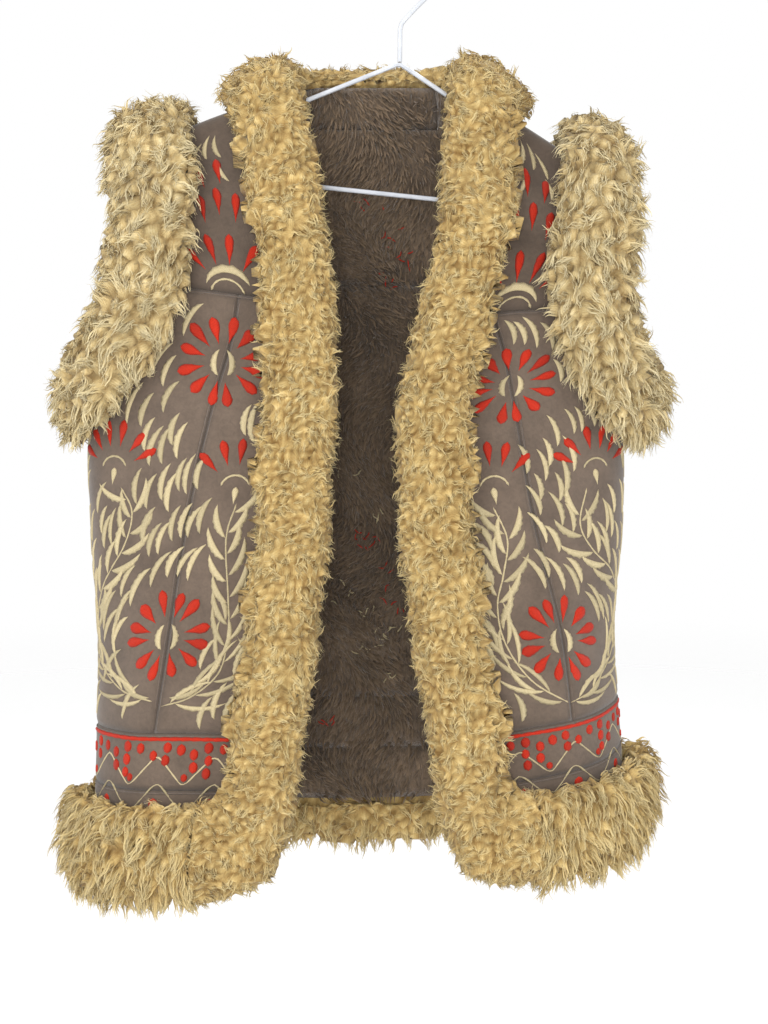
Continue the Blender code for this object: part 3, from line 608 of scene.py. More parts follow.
class Nodes:
    """A short way to build a material's nodes."""

    def __init__(self, name):
        self.material = bpy.data.materials.new(name)
        self.material.use_nodes = True
        self.tree = self.material.node_tree
        self.shader = self.tree.nodes["Principled BSDF"]
        self.coordinates = self.tree.nodes.new("ShaderNodeTexCoord").outputs["Object"]

    def put(self, socket, value):
        if isinstance(value, bpy.types.NodeSocket):
            self.tree.links.new(value, socket)
        else:
            socket.default_value = value

    def set(self, **values):
        for key, value in values.items():
            self.put(self.shader.inputs[key.replace("_", " ")], value)

    def make(self, kind, output, inputs, **settings):
        node = self.tree.nodes.new(kind)
        for key, value in settings.items():
            setattr(node, key, value)
        for key, value in inputs.items():
            self.put(node.inputs[key], value)
        return node.outputs[output]

    def attribute(self, name):
        return self.make("ShaderNodeAttribute", "Fac", {}, attribute_name=name)

    def noise(self, scale, detail=3.0, roughness=0.55, vector=None, distortion=0.0):
        inputs = {"Vector": vector or self.coordinates, "Scale": scale, "Detail": detail}
        inputs.update({"Roughness": roughness, "Distortion": distortion})
        return self.make("ShaderNodeTexNoise", "Fac", inputs)

    def math(self, operation, a, b=0.0):
        return self.make("ShaderNodeMath", 0, {0: a, 1: b}, operation=operation)

    def scaled(self, value, factor, plus):
        return self.math("ADD", self.math("MULTIPLY", value, factor), plus)

    def grey(self, amount, least):
        """A grey from least up, by a piece's own tone."""
        own = self.scaled(self.attribute("tone"), amount, least)
        return self.make("ShaderNodeCombineColor", "Color", {0: own, 1: own, 2: own})

    def ramp(self, value, *stops):
        node = self.tree.nodes.new("ShaderNodeValToRGB")
        self.put(node.inputs["Fac"], value)
        elements = node.color_ramp.elements
        while len(elements) < len(stops):
            elements.new(0.5)
        for element, (place, colour) in zip(elements, stops):
            element.position = place
            element.color = (*colour, 1.0)
        return node.outputs["Color"]

    def mix(self, factor, a, b, blend="MIX"):
        colours = [(*value, 1.0) if isinstance(value, tuple) else value for value in (a, b)]
        inputs = {0: factor, 6: colours[0], 7: colours[1]}
        return self.make("ShaderNodeMix", 2, inputs, data_type="RGBA", blend_type=blend)

    def bump(self, height, distance, strength):
        """Sets the shader's normal."""
        inputs = {"Height": height, "Distance": distance, "Strength": strength}
        self.set(Normal=self.make("ShaderNodeBump", "Normal", inputs))

    def multiplied(self, first, *others):
        for colour in others:
            first = self.mix(1.0, first, colour, "MULTIPLY")
        return first


SUEDE_COLOUR = (0.114, 0.084, 0.063)
YOKE_SHADE = 0.84
STITCH_PITCH = 1.35
WOOL_BROWN = (0.125, 0.088, 0.057)
RED_THREAD = (0.46, 0.018, 0.002)
CREAM_THREAD = (0.56, 0.47, 0.275)
# Long wool at its roots, half way up and at its tips. The darker roots are partly the wool's own tint and
# partly painted shade of the pile's depth
WOOL_COLOURS = {
    "front": ((0.29, 0.165, 0.046), (0.47, 0.335, 0.134), (0.70, 0.575, 0.30)),
    "collar": ((0.30, 0.175, 0.050), (0.50, 0.36, 0.15), (0.72, 0.59, 0.31)),
    "armhole": ((0.32, 0.205, 0.075), (0.51, 0.395, 0.195), (0.76, 0.66, 0.41)),
    "hem": ((0.30, 0.170, 0.048), (0.48, 0.345, 0.138), (0.72, 0.59, 0.31)),
}


def shade_of(colour, factor):
    return tuple(min(1.0, channel * factor) for channel in colour)


def suede_material(name, tint):
    n = Nodes(name)
    broad = n.noise(26.0, 4.0, 0.6)
    nap = n.noise(260.0, 4.0, 0.65, distortion=0.6)
    grain = n.noise(1500.0, 2.0)
    base = n.ramp(broad, (0.3, shade_of(tint, 0.80)), (0.52, tint), (0.74, shade_of(tint, 1.2)))
    napped = n.ramp(nap, (0.35, (0.86, 0.86, 0.86)), (0.6, (1.04, 1.03, 1.02)))
    # Darker towards the panels' cut edges, by the points' edge values
    edge_darkening_and_stitch_shade = n.math("MULTIPLY", n.attribute("edge"), 0.6)
    n.set(Base_Color=n.mix(edge_darkening_and_stitch_shade, n.multiplied(base, napped), shade_of(tint, 0.52)), Roughness=0.93)
    n.bump(n.scaled(nap, 1.4, grain), 0.00022, 0.8)
    n.set(Sheen_Weight=0.22, Sheen_Roughness=0.55, Specular_IOR_Level=0.18)
    return n.material


def lining_material():
    n = Nodes("brown_wool")
    scale = {"Vector": n.coordinates, "Scale": (420.0, 420.0, 95.0)}
    streak = n.noise(1.0, 5.0, 0.7, n.make("ShaderNodeMapping", "Vector", scale), 1.2)
    patch = n.noise(17.0, 4.0, 0.6)
    dark, pale = shade_of(WOOL_BROWN, 0.62), shade_of(WOOL_BROWN, 1.55)
    colour = n.ramp(patch, (0.3, dark), (0.5, WOOL_BROWN), (0.72, pale))
    # The fur's streaks, darker in the bump's furrows and paler on its ridges: partly its tone, partly painted
    # shade and painted highlight
    strands = n.ramp(streak, (0.32, (0.42, 0.42, 0.45)), (0.55, (1.0, 1.0, 1.0)), (0.75, (1.7, 1.6, 1.5)))
    n.set(Base_Color=n.multiplied(colour, strands), Roughness=0.92)
    n.bump(streak, 0.003, 1.0)
    n.set(Sheen_Weight=0.35, Sheen_Roughness=0.4, Specular_IOR_Level=0.2)
    return n.material


def pile_material(name, root, mid, tip, sheen=0.12, lines=1.5):
    """Wool in locks: darker at the roots, partly its own tint and partly painted shade of the pile's depth,
    paler at the tips, and each lock a little different.
    """
    n = Nodes(name)
    along = n.attribute("along")
    blotch = n.noise(38.0, 3.0, 0.6)
    reached = n.math("ADD", along, n.math("MULTIPLY", n.math("SUBTRACT", blotch, 0.5), 0.6))
    colour = n.ramp(reached, (0.0, root), (0.45, mid), (0.95, tip))
    fine = n.noise(620.0, 3.0, 0.65, distortion=0.8)
    run = n.math("MULTIPLY", n.attribute("strand"), 2 * math.pi * lines)
    strand = n.math("SINE", n.math("ADD", run, n.math("MULTIPLY", fine, 3.0)))
    height = n.scaled(strand, 0.30, n.math("MULTIPLY", fine, 1.4))
    # Painted shade in the grooves between strands, darker where the bump's height is low
    dark = n.ramp(height, (0.2, (0.86, 0.80, 0.68)), (0.7, (1.0, 1.0, 1.0)))
    n.set(Base_Color=n.multiplied(colour, n.grey(0.32, 0.84), dark), Roughness=0.8)
    n.bump(height, 0.0006, 0.8)
    n.set(Sheen_Weight=sheen, Sheen_Roughness=0.35, Specular_IOR_Level=0.25)
    return n.material


def thread_material(name, colour):
    """Satin stitches: fine threads that cross each motif."""
    n = Nodes(name)
    strand = n.math("SINE", n.math("MULTIPLY", n.attribute("stitch"), 2 * math.pi / STITCH_PITCH))
    fuzz = n.noise(700.0, 3.0, 0.6)
    height = n.math("ADD", strand, n.math("MULTIPLY", fuzz, 1.2))
    # Painted shade in the grooves between stitches, darker where their bump is low, with random fuzz
    edge_darkening_and_stitch_shade = n.scaled(strand, 0.25, fuzz)
    lines = n.ramp(edge_darkening_and_stitch_shade, (0.15, (0.66, 0.62, 0.58)), (0.62, (1.0, 1.0, 1.0)))
    n.set(Base_Color=n.multiplied(colour, n.grey(0.30, 0.82), lines), Roughness=0.62)
    n.bump(height, 0.00025, 0.7)
    n.set(Sheen_Weight=0.06, Specular_IOR_Level=0.25)
    return n.material


def coating_material():
    n = Nodes("white_coating")
    dust = n.noise(60.0, 4.0, 0.6)
    n.set(Base_Color=n.ramp(dust, (0.35, (0.44, 0.46, 0.50)), (0.6, (0.54, 0.56, 0.60))))
    n.set(Roughness=n.scaled(dust, 0.25, 0.2))
    n.bump(n.noise(240.0, 2.0), 0.0002, 0.5)
    n.set(Coat_Weight=0.25)
    return n.material


def lock_mesh(rng, segments, roots, outs, heads, tips, shape, start, tone):
    """Fine locks of wool as tapered ribbons: points, quads and values a point.

    They leave their roots along heads, end along tips and lie flat to the surface's outs. Their shape is
    (length, width, curl, waves, phase), and start is how far up its lock each root's colour is.
    """
    length, width, curl, waves, phase = (values[:, None, None] for values in shape)
    n, rings = len(roots), segments + 1
    s = np.linspace(0, 1, rings)[None, :, None]
    way = unit(heads[:, None] * (1 - s) ** 1.2 + tips[:, None] * s)
    gone = np.cumsum((way[:, 1:] + way[:, :-1]) / 2 * (length / segments), axis=1)
    line = roots[:, None] + np.concatenate([np.zeros((n, 1, 3)), gone], axis=1)
    first = unit(np.cross(heads, outs + 0.3 * rng.normal(size=(n, 3))))
    second = np.cross(heads, first)
    turn = 2 * math.pi * waves * s + phase
    line += curl * s**0.7 * (np.sin(turn) * first[:, None] + 0.6 * np.cos(turn) * second[:, None])
    twist = rng.normal(0, 0.5, n)[:, None, None]
    across = np.cos(twist) * first[:, None] + np.sin(twist) * second[:, None]
    half = width / 2 * (1 - 0.85 * s**1.4)
    places = np.stack([line - across * half, line + across * half], axis=2).reshape(-1, 3)
    base = np.arange(n)[:, None] * rings * 2
    quads = [base + [r * 2, r * 2 + 1, r * 2 + 3, r * 2 + 2] for r in range(segments)]
    along = np.repeat((start[:, None] + (1 - start[:, None]) * s[:, :, 0]).ravel(), 2)
    values = {"along": along, "tone": np.repeat(tone, rings * 2), "strand": np.tile([0.0, 1.0], n * rings)}
    return places, np.concatenate(quads).tolist(), values


def node_mesh(node):
    """A CAD node's points in millimetres, and its triangles."""
    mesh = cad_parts[node].data
    mesh.calc_loop_triangles()
    places = np.array([v.co for v in mesh.vertices]) / MM
    triangles = np.array([t.vertices for t in mesh.loop_triangles])
    return places, triangles


def tree_of(*nodes):
    """CAD nodes' triangles, to find what is near them."""
    places, triangles, start = [], [], 0
    for points, faces in map(node_mesh, nodes):
        places += points.tolist()
        triangles += (faces + start).tolist()
        start += len(points)
    return BVHTree.FromPolygons(places, triangles)


def depth_inside(tree, place, out, limit):
    """How thick a solid is behind a point of its surface, up to a limit."""
    far = tree.ray_cast(Vector(place) - Vector(out) * 0.05, -Vector(out), limit)[3]
    return limit if far is None else far


# Long-wool strips: (node, locks, segments, depth of the underwool, space between clumps, rise of a clump,
# length and width of a lock, droop, how far a clump leans, curl)
PILES = [
    ("front_right_pile", 11500, 4, 6.5, 7.8, 5.0, 10.0, 1.3, 0.25, 0.9, 1.2),
    ("front_left_pile", 11500, 4, 6.5, 7.8, 5.0, 10.0, 1.3, 0.25, 0.9, 1.2),
    ("collar_pile", 2400, 4, 6.0, 7.8, 4.5, 10.0, 1.3, 0.2, 0.8, 1.2),
    ("armhole_right_pile", 9200, 5, 9.0, 13.0, 7.5, 16.0, 1.6, 0.5, 0.7, 1.5),
    ("armhole_left_pile", 9200, 5, 9.0, 13.0, 7.5, 16.0, 1.6, 0.6, 0.65, 1.4),
    ("hem_right_pile", 3600, 5, 9.0, 12.0, 7.0, 17.0, 1.7, 0.9, 0.55, 1.5),
    ("hem_left_pile", 3400, 5, 9.0, 12.0, 7.0, 17.0, 1.7, 0.9, 0.55, 1.5),
    ("hem_back_pile", 5000, 5, 9.0, 12.0, 7.0, 16.0, 1.7, 0.9, 0.55, 1.5),
]
# How far the wool of the front strips is drawn in from the panels, and the way to their panels
DRAWN_IN = {"front_right_pile": (8.0, -1.0), "front_left_pile": (8.0, 1.0)}
# Where two strips meet, both rise to their forms over this distance
MEET_GAP, MEET_FADE = 1.0, 11.0
CORE_VOXEL = 3.4
FIBRE_PITCH = 2.0
# Nothing lies deeper than these shares of a strip's thickness, which is measured up to THICKEST
CORE_DEEPEST, LOCK_DEEPEST, THICKEST = 0.36, 0.4, 60.0
LOCK_ROOT = 1.2
# Where a strip is thinner than these, its clumps lean less and its locks are shorter
FULL_LEAN, FULL_LENGTH = 25.0, 22.0
# Locks with less room than this over the panels are shorter
CLEARANCE = 14.0
LINING_HAIRS = 8000


def pile_roots(rng, node, count, panels):
    """Random points of a strip's surface and its normals there, but not where it lies on the panels."""
    places, triangles = node_mesh(node)
    a, b, c = (places[triangles[:, k]] for k in range(3))
    cross = np.cross(b - a, c - a)
    area = np.linalg.norm(cross, axis=1) / 2
    flat = unit(cross)
    key = np.unique(np.round(places, 2), axis=0, return_inverse=True)[1].ravel()
    shared = np.zeros((key.max() + 1, 3))
    for k in range(3):
        np.add.at(shared, key[triangles[:, k]], cross)
    point_out = unit(shared[key])
    free = [
        panels.ray_cast(Vector(centre + out * 0.02), Vector(out), 5.0)[0] is None
        for centre, out in zip((a + b + c) / 3, flat)
    ]
    weight = area * np.array(free)
    pick = rng.choice(len(triangles), size=count, p=weight / weight.sum())
    u, v = rng.random((2, count, 1))
    over = u + v > 1
    u, v = np.where(over, 1 - u, u), np.where(over, 1 - v, v)
    first, second, third = triangles[pick].T
    roots, outs = (at[first] * (1 - u - v) + at[second] * u + at[third] * v for at in (places, point_out))
    return roots, unit(outs)


class Clumps:
    """Centres spread over a strip, each with the way its wool leans. Any point belongs to its nearest."""

    def __init__(self, rng, points, outs, spacing, droop):
        kept, cells = [], {}
        for k in rng.permutation(len(points)):
            cell = np.floor(points[k] / spacing).astype(int)
            beside = (tuple((cell + step).tolist()) for step in product((-1, 0, 1), repeat=3))
            near = [other for place in beside for other in cells.get(place, ())]
            if all(np.sum((points[k] - points[other]) ** 2) > (0.78 * spacing) ** 2 for other in near):
                cells.setdefault(tuple(cell.tolist()), []).append(k)
                kept.append(k)
        self.centres, out = points[kept], outs[kept]
        lean = rng.normal(size=(len(kept), 3)) + DOWN * droop * 1.6
        lean -= out * np.sum(lean * out, axis=1, keepdims=True)
        self.lean = unit(lean)
        self.across = np.cross(out, self.lean)
        self.rise = rng.uniform(0.55, 1.25, len(kept))
        self.tone = rng.uniform(0, 1, len(kept))
        self.phase = rng.uniform(0, 2 * math.pi, len(kept))
        self.tree = KDTree(len(kept))
        for k, centre in enumerate(self.centres):
            self.tree.insert(Vector(centre), k)
        self.tree.balance()

    def at(self, points):
        """The clump of each point, and how high it stands there, from 0 at its rim to 1 at its middle."""
        found = [self.tree.find_n(Vector(point), 2) for point in points]
        first = np.array([pair[0][2] for pair in found])
        second = np.array([pair[1][2] for pair in found])
        dome = np.clip((second - first) / (second + first) * 1.25, 0, 1) ** 0.75
        return np.array([pair[0][1] for pair in found]), dome


def core_mesh(node):
    """A strip's CAD form as an even mesh: its points and normals in millimetres, and its quads."""
    places, triangles = node_mesh(node)
    _, first, key = np.unique(np.round(places, 2), axis=0, return_index=True, return_inverse=True)
    mesh = bpy.data.meshes.new(f"form_{node}")
    mesh.from_pydata((places[first] * MM).tolist(), [], key.ravel()[triangles].tolist())
    form = in_scene(f"form_{node}", mesh)
    even = form.modifiers.new("even", "REMESH")
    even.mode = "VOXEL"
    even.voxel_size = CORE_VOXEL * MM
    evaluated = form.evaluated_get(bpy.context.evaluated_depsgraph_get())
    made = bpy.data.meshes.new_from_object(evaluated)
    points = np.array([vertex.co for vertex in made.vertices]) / MM
    outs = np.array([vertex.normal for vertex in made.vertices])
    faces = [list(polygon.vertices) for polygon in made.polygons]
    bpy.data.objects.remove(form)
    return points, outs, faces


def drawn(node, outs, points, other_piles):
    """How much deeper each point of a strip lies beside its panel, and what share where strips meet."""
    deeper, side = DRAWN_IN.get(node, (0.0, 1.0))
    near = np.array([other_piles.find_nearest(Vector(point))[3] for point in points])
    meeting = np.clip((near - MEET_GAP) / MEET_FADE, 0.08, 1.0)
    return deeper * np.maximum(outs[:, 0] * side, 0.0) ** 1.5, meeting


def make_pile(row, panels, wool, core_wool):
    """One strip of long wool: lumpy underwool, and locks that lie over it in clumps."""
    node, count, segments, depth, spacing, rise, length, width, droop, lean, curl = row
    rng = np.random.default_rng(SEED + sum(map(ord, node)))
    own, other_piles = tree_of(node), tree_of(*[other[0] for other in PILES if other[0] != node])

    def laid(points, outs, extra, most):
        """The strip's thickness at points, their clumps and domes, and how far under its form they lie."""
        thick = np.array([depth_inside(own, p, o, THICKEST) for p, o in zip(points, outs)])
        clump, dome = clumps.at(points)
        deeper, meeting = drawn(node, outs, points, other_piles)
        sunk = np.minimum(deeper + depth - rise * clumps.rise[clump] * dome + extra, most * thick) * meeting
        return thick, clump, dome, sunk[:, None]

    points, outs, faces = core_mesh(node)
    clumps = Clumps(rng, points, outs, spacing, droop)
    thick, clump, dome, sunk = laid(points, outs, 0.0, CORE_DEEPEST)
    room = np.minimum(1.0, thick / FULL_LEAN)[:, None]
    moved = points - outs * sunk + clumps.lean[clump] * (3.0 * dome**2)[:, None] * room
    fibre = np.sum((points - clumps.centres[clump]) * clumps.across[clump], axis=1) / FIBRE_PITCH
    # The underwool takes its darkest colour between the clumps: painted shade in the hollows
    values = {"along": 0.05 + 0.6 * dome, "tone": clumps.tone[clump], "strand": fibre}
    core = add_object(f"wool_core_{node}", moved, faces, core_wool, "cream_pile", values)

    roots, outs = pile_roots(rng, node, count, panels)
    thick, clump, dome, sunk = laid(roots, outs, LOCK_ROOT, LOCK_DEEPEST)
    inwards = (clumps.centres[clump] - roots) / spacing
    noise = rng.normal(0, 0.13, (2, count, 3))
    leaning = clumps.lean[clump] * lean
    heads = unit(outs * 0.8 + leaning + inwards * 0.5 + DOWN * droop * 0.3 + noise[0])
    tips = unit(outs * 0.2 + leaning + inwards * 0.8 + DOWN * droop * 0.6 + noise[1])
    ends = roots + heads * length * 0.6
    clear = np.array([panels.find_nearest(Vector(end))[3] for end in ends])
    grown = length * rng.uniform(0.75, 1.15, count) * np.clip(thick / FULL_LENGTH, 0.55, 1.0)
    grown *= np.clip(clear / CLEARANCE, 0.45, 1.0)
    widths, curls = width * rng.uniform(0.6, 1.3, count), curl * rng.uniform(0.5, 1.2, count)
    waves, phase = rng.uniform(0.8, 1.3, count), clumps.phase[clump] + rng.normal(0, 0.6, count)
    tone = clumps.tone[clump] * 0.6 + rng.uniform(0, 0.4, count)
    shape = (grown, widths, curls, waves, phase)
    # Locks rooted between the clumps start nearer their root colour: painted shade in the hollows
    locks = lock_mesh(rng, segments, roots - outs * sunk, outs, heads, tips, shape, 0.15 + 0.35 * dome, tone)
    made = add_object(f"wool_locks_{node}", *locks[:2], wool, "cream_pile", locks[2])
    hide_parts(node)
    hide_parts(node)


def make_lining_hair(wool):
    """Short hairs on the lining of the back, thickest where the open fronts show it."""
    rng = np.random.default_rng(SEED + 7)
    count = LINING_HAIRS
    share = np.where(rng.random(count) < 0.86, rng.normal(0.49, 0.06, count), rng.uniform(0.03, 0.97, count))
    level = rng.uniform(HEM + 2, RIDGE - 2, count)
    start, end = span("back", "whole", level)
    share = np.clip(share, start + 0.01, end - 0.01)
    place, out = surface("back", share, level)
    lie = 0.9 + 0.5 * np.sin(level / 40 + share * 12)
    sway = np.array([1.0, 0.0, 0.0]) * (0.7 * np.sin(level / 26 + share * 17))[:, None]
    heads = unit(-out + DOWN * 0.6 * lie[:, None] + sway + rng.normal(0, 0.25, (count, 3)))
    tips = unit(-out * 0.2 + DOWN * lie[:, None] + sway * 1.4 + rng.normal(0, 0.25, (count, 3)))
    # Length, width, curl, waves and phase
    ranges = ((7, 13), (1.6, 3.0), (0.3, 0.9), (0.5, 1.0), (0, 6.3))
    shape = [rng.uniform(low, high, count) for low, high in ranges]
    tone = rng.uniform(0, 1, count)
    roots = place - out * (WOOL_DEPTH - 1.5)
    hairs = lock_mesh(rng, 3, roots, -out, heads, tips, shape, np.full(count, 0.1), tone)
    add_object("wool_hair_back", *hairs[:2], wool, "suede", hairs[2])


# A ribbon narrower than this is lower too, and its edges are sunk in the suede
CROWN_WIDTH, SUNK = 3.0, 0.3


class Needlework:
    """Raised stitches of one colour on one panel, as ribbons over its cloth.

    Their points are (u, v): millimetres from the front edge, or from the back's middle, and the level.
    """

    def __init__(self, panel, seed):
        self.panel = panel
        self.rng = np.random.default_rng(seed)
        self.rows, self.faces, self.count = [], [], 0

    def ribbon(self, spine, left, right, height, slant=0.6, columns=5):
        """One raised ribbon along a spine, with its half widths to the left and right at each point."""
        spine = np.asarray(spine, float)
        rows = len(spine)
        ahead = unit(np.gradient(spine, axis=0))
        across = np.stack([-ahead[:, 1], ahead[:, 0]], axis=1)
        b = np.linspace(-1, 1, columns)[None]
        off = np.where(b < 0, right[:, None], left[:, None]) * b
        flat = spine[:, None] + across[:, None] * off[..., None]
        crown = np.minimum(1.0, np.maximum(left + right, 1e-3) / CROWN_WIDTH)[:, None]
        lift = (height * crown + SUNK) * np.sqrt(np.maximum(0.0, 1 - b**2)) ** 0.8 - SUNK
        stitch = length_along(spine)[:, None] + slant * off
        number = self.count + np.arange(rows * columns).reshape(rows, columns)
        r, c = np.mgrid[0 : rows - 1, 0 : columns - 1]
        quads = [corner.ravel() for corner in cell_corners(number, r, c)]
        self.faces += np.stack(quads, axis=1)[:, ::-1].tolist()
        under = [number[:-1, 0], number[:-1, -1], number[1:, -1], number[1:, 0]]
        self.faces += np.stack(under, axis=1).tolist()
        self.faces += [number[0].tolist(), number[-1, ::-1].tolist()]
        tone = np.full(lift.shape, self.rng.uniform(0, 1))
        self.rows.append(np.dstack([flat, lift, stitch, tone]).reshape(-1, 5))
        self.count += rows * columns

    def petal(self, u, v, angle, length, width, height=1.3):
        """A padded drop with its point at (u, v)."""
        s = np.linspace(0, 1, 12)
        spine = np.array([u, v]) + heading(angle) * (s * length)[:, None]
        half = width / 2 * np.maximum(np.sin(math.pi * s**2.1), 0.0) ** 0.62 + 0.12
        ragged = 1 + self.rng.uniform(-0.07, 0.07, len(s))
        self.ribbon(spine, half * ragged, half * ragged[::-1], height)

    def leaf(self, u, v, angle, length, width, bend, height=0.9):
        """A crescent with serrated edges that curves by bend as it grows from (u, v)."""
        rows = 14
        s = np.linspace(0, 1, rows)
        turn = angle + bend * (s - 0.5)
        steps = np.stack([np.cos(turn), np.sin(turn)], axis=1) * length / (rows - 1)
        spine = np.array([u, v]) + np.cumsum(steps, axis=0) - steps[0]
        half = width * np.maximum(np.sin(math.pi * s**0.85), 0.0) ** 0.8
        teeth = 1 + 0.15 * np.where(np.arange(rows) % 2, 1.0, -1.0) * self.rng.uniform(0.1, 1.0, rows)
        inner, outer = half * 0.22 + 0.15, half * 0.78 * teeth + 0.15
        left, right = (inner, outer) if bend > 0 else (outer, inner)
        self.ribbon(spine, left, right, height, slant=1.1, columns=4)

    def stem(self, controls, width=2.2, height=0.8):
        """A line of chain stitch along a smooth curve through its control points."""
        spine = curve(controls, 3.2)
        half = width / 2 * (1 + 0.16 * np.sin(np.arange(len(spine)) * 2.1))
        half[[0, -1]] = 0.15
        self.ribbon(spine, half, half, height, columns=3)

    def dot(self, u, v, size, tall=1.1):
        s = np.linspace(0, 1, 7)
        spine = np.stack([0 * s + u, v + (s - 0.5) * size * tall], axis=1)
        half = size / 2 * np.sqrt(np.maximum(0.0, 1 - (2 * s - 1) ** 2)) + 0.1
        self.ribbon(spine, half * self.rng.uniform(0.9, 1.1), half, 1.2)

    def make(self, name, material, base=0.0, side=1.0):
        """All the stitches as one piece, on the cloth's outside, or with side -1 at base under it."""
        u, v, lift, stitch, tone = np.concatenate(self.rows).T
        lift = (lift + base) * side
        level = np.clip(v, HEM + 1, RIDGE - 1)
        width = width_at(self.panel, level)
        share = np.clip(u / width + (0.5 if self.panel == "back" else 0.0), 0.003, 0.997)
        place, out = surface(self.panel, share, level)
        if side > 0:
            lift = lift + relief(self.panel, share, level, width)
        flip = (self.panel == "left") == (side > 0)
        faces = self.faces if flip else [face[::-1] for face in self.faces]
        values = {"stitch": stitch, "tone": tone}
        add_object(name, place + out * lift[:, None], faces, material, "suede", values)


def curve(controls, step):
    """Points about a step apart on a smooth curve through control points."""
    controls = np.asarray(controls, float)
    if len(controls) == 2:
        count = max(2, int(np.linalg.norm(controls[1] - controls[0]) / step))
        return controls[0] + (controls[1] - controls[0]) * np.linspace(0, 1, count + 1)[:, None]
    ends = [2 * controls[0] - controls[1], *controls, 2 * controls[-1] - controls[-2]]
    pieces = []
    for a, b, c, d in zip(ends, ends[1:], ends[2:], ends[3:]):
        count = max(2, int(np.linalg.norm(c - b) / step))
        t = np.linspace(0, 1, count, endpoint=False)[:, None]
        bend, turn = 2 * a - 5 * b + 4 * c - d, 3 * b - a - 3 * c + d
        pieces.append(0.5 * (2 * b + (c - a) * t + bend * t**2 + turn * t**3))
    return np.concatenate([*pieces, controls[-1:]])


# Motifs, as (u, v)
ROSETTES = {"right": [(72, 411), (107, 183)], "left": [(69, 397), (104, 171)]}
FANS = {"right": [(168, 320), (58, 303)], "left": [(150, 312), (58, 300)]}
STEMS = {
    "right": [
        [(160, 306), (148, 284), (155, 254), (176, 224), (187, 195), (184, 165), (150, 137), (112, 126)],
        [(56, 292), (63, 262), (57, 214), (54, 188), (57, 152), (79, 130), (104, 122)],
    ],
    "left": [
        [(140, 298), (132, 266), (144, 242), (167, 222), (188, 194), (172, 158), (132, 124), (103, 115)],
        [(56, 286), (66, 257), (60, 228), (52, 203), (54, 172), (71, 139), (101, 115)],
    ],
}
ROSETTE_INNER, ROSETTE_OUTER, ROSETTE_PETALS = 15.5, 38.5, 12
ROSETTE_WIDTH = 10.6
FAN_ARCH, FAN_INNER, FAN_OUTER = 13.0, 22.0, 45.0
WELT_OFF, WELT_UNDER = 2.3, 2.4
WAVE_LENGTH, WAVE_HEIGHT = 51.0, 12
YOKE_FANS = {"right": (66, 470), "left": (56, 471)}
BACK_STEM = [(62, 346), (72, 310), (66, 264), (80, 218), (76, 168), (44, 132), (6, 122)]
# From a yoke's fan: (across, up, angle in degrees, length, width)
YOKE_DROPS = [
    (-13, 56, 98, 28, 8.4),
    (0, 62, 92, 28, 8.4),
    (13, 54, 86, 28, 8.4),
    (-6, 94, 94, 30, 8.0),
    (8, 90, 86, 30, 8.0),
]
# From a yoke's fan: (across, up, angle in degrees)
YOKE_LEAVES = [(-14, 96, 78), (-13, 124, 84), (-1, 126, 100), (11, 122, 112), (14, 96, 100)]
# Where thread ends show in the lining of the back
THREAD_ENDS = {
    "red": [(-6, 532), (18, 505), (30, 488), (12, 470), (14, 236), (22, 214), (34, 182), (-28, 76), (6, 250)],
    "cream": [
        (-14, 196), (10, 178), (24, 160), (2, 140), (32, 120),
        (-20, 330), (-8, 306), (16, 268), (28, 150),
    ],
}
# (angle round a rosette in degrees, radius, length) of the crescents that frame it
RING = [(150, 50, 30), (182, 51, 33), (214, 50, 34), (242, 53, 34)]
RING += [(298, 53, 34), (326, 50, 34), (358, 51, 33), (30, 50, 30)]


# How near a leaf comes to the middle of a motif
UPPER_CLEAR, LOWER_CLEAR, FAN_CLEAR, BACK_CLEAR = 38.5, 41.0, 26.0, 45.0
# A stem's leaves at its top and at its foot: degrees from the stem, length and width
STEM_LEAF = ((25, 16), (31, 42), (7.0, 5.0))
FRONT_STEM_PITCH, BACK_STEM_PITCH = 18.0, 21.0
LEAF_LENGTH = 32
# The long wool covers the stitches up the front edges and round the armholes
EDGE_WOOL, FRONT_ARM_WOOL, BACK_ARM_WOOL = 35.0, 36.0, 56.0
BACK_REACH = 238.0


def rosette(red, cream, u, v, ring=()):
    """Twelve drops round two facing crescents, with a ring of crescents outside."""
    for k in range(ROSETTE_PETALS):
        angle = 2 * math.pi * (k + 0.5) / ROSETTE_PETALS + red.rng.normal(0, 0.05)
        inner = ROSETTE_INNER + red.rng.uniform(-1, 1)
        length = (ROSETTE_OUTER - ROSETTE_INNER) * red.rng.uniform(0.9, 1.06)
        width = ROSETTE_WIDTH * red.rng.uniform(0.88, 1.1)
        red.petal(u + inner * math.cos(angle), v + inner * math.sin(angle), angle, length, width)
    for side in (-1, 1):
        cream.leaf(u + side * 4.0, v - 11, math.pi / 2, 22, 6.4, side * 1.1, 1.1)
    taken = []
    for degrees, radius, length in ring:
        turn = math.radians(degrees)
        way = 1 if math.cos(turn) < 0 else -1
        angle = turn - way * math.pi / 2 * 0.94
        middle = np.array([u, v]) + radius * heading(turn)
        half = heading(angle) * length / 2
        cream.leaf(*(middle - half), angle, length, 5.4, -way * length / radius * 1.15)
        taken += [middle - half, middle, middle + half]
    return taken


def fan(red, cream, u, v, angles, arch=FAN_ARCH, inner=FAN_INNER, outer=FAN_OUTER, bud=True):
    """Half a rosette: drops that spread over an arch with a bud under it."""
    for angle in np.radians(angles):
        start = u + inner * math.cos(angle), v + inner * math.sin(angle)
        red.petal(*start, angle + red.rng.normal(0, 0.04), outer - inner, 8.6)
    turns = np.radians(np.linspace(18, 162, 9))
    cream.stem([(u + arch * math.cos(t), v + arch * math.sin(t)) for t in turns], 2.6, 0.9)
    if bud:
        cream.petal(u + 1, v - 12, math.radians(97), 15, 6.4, 1.0)


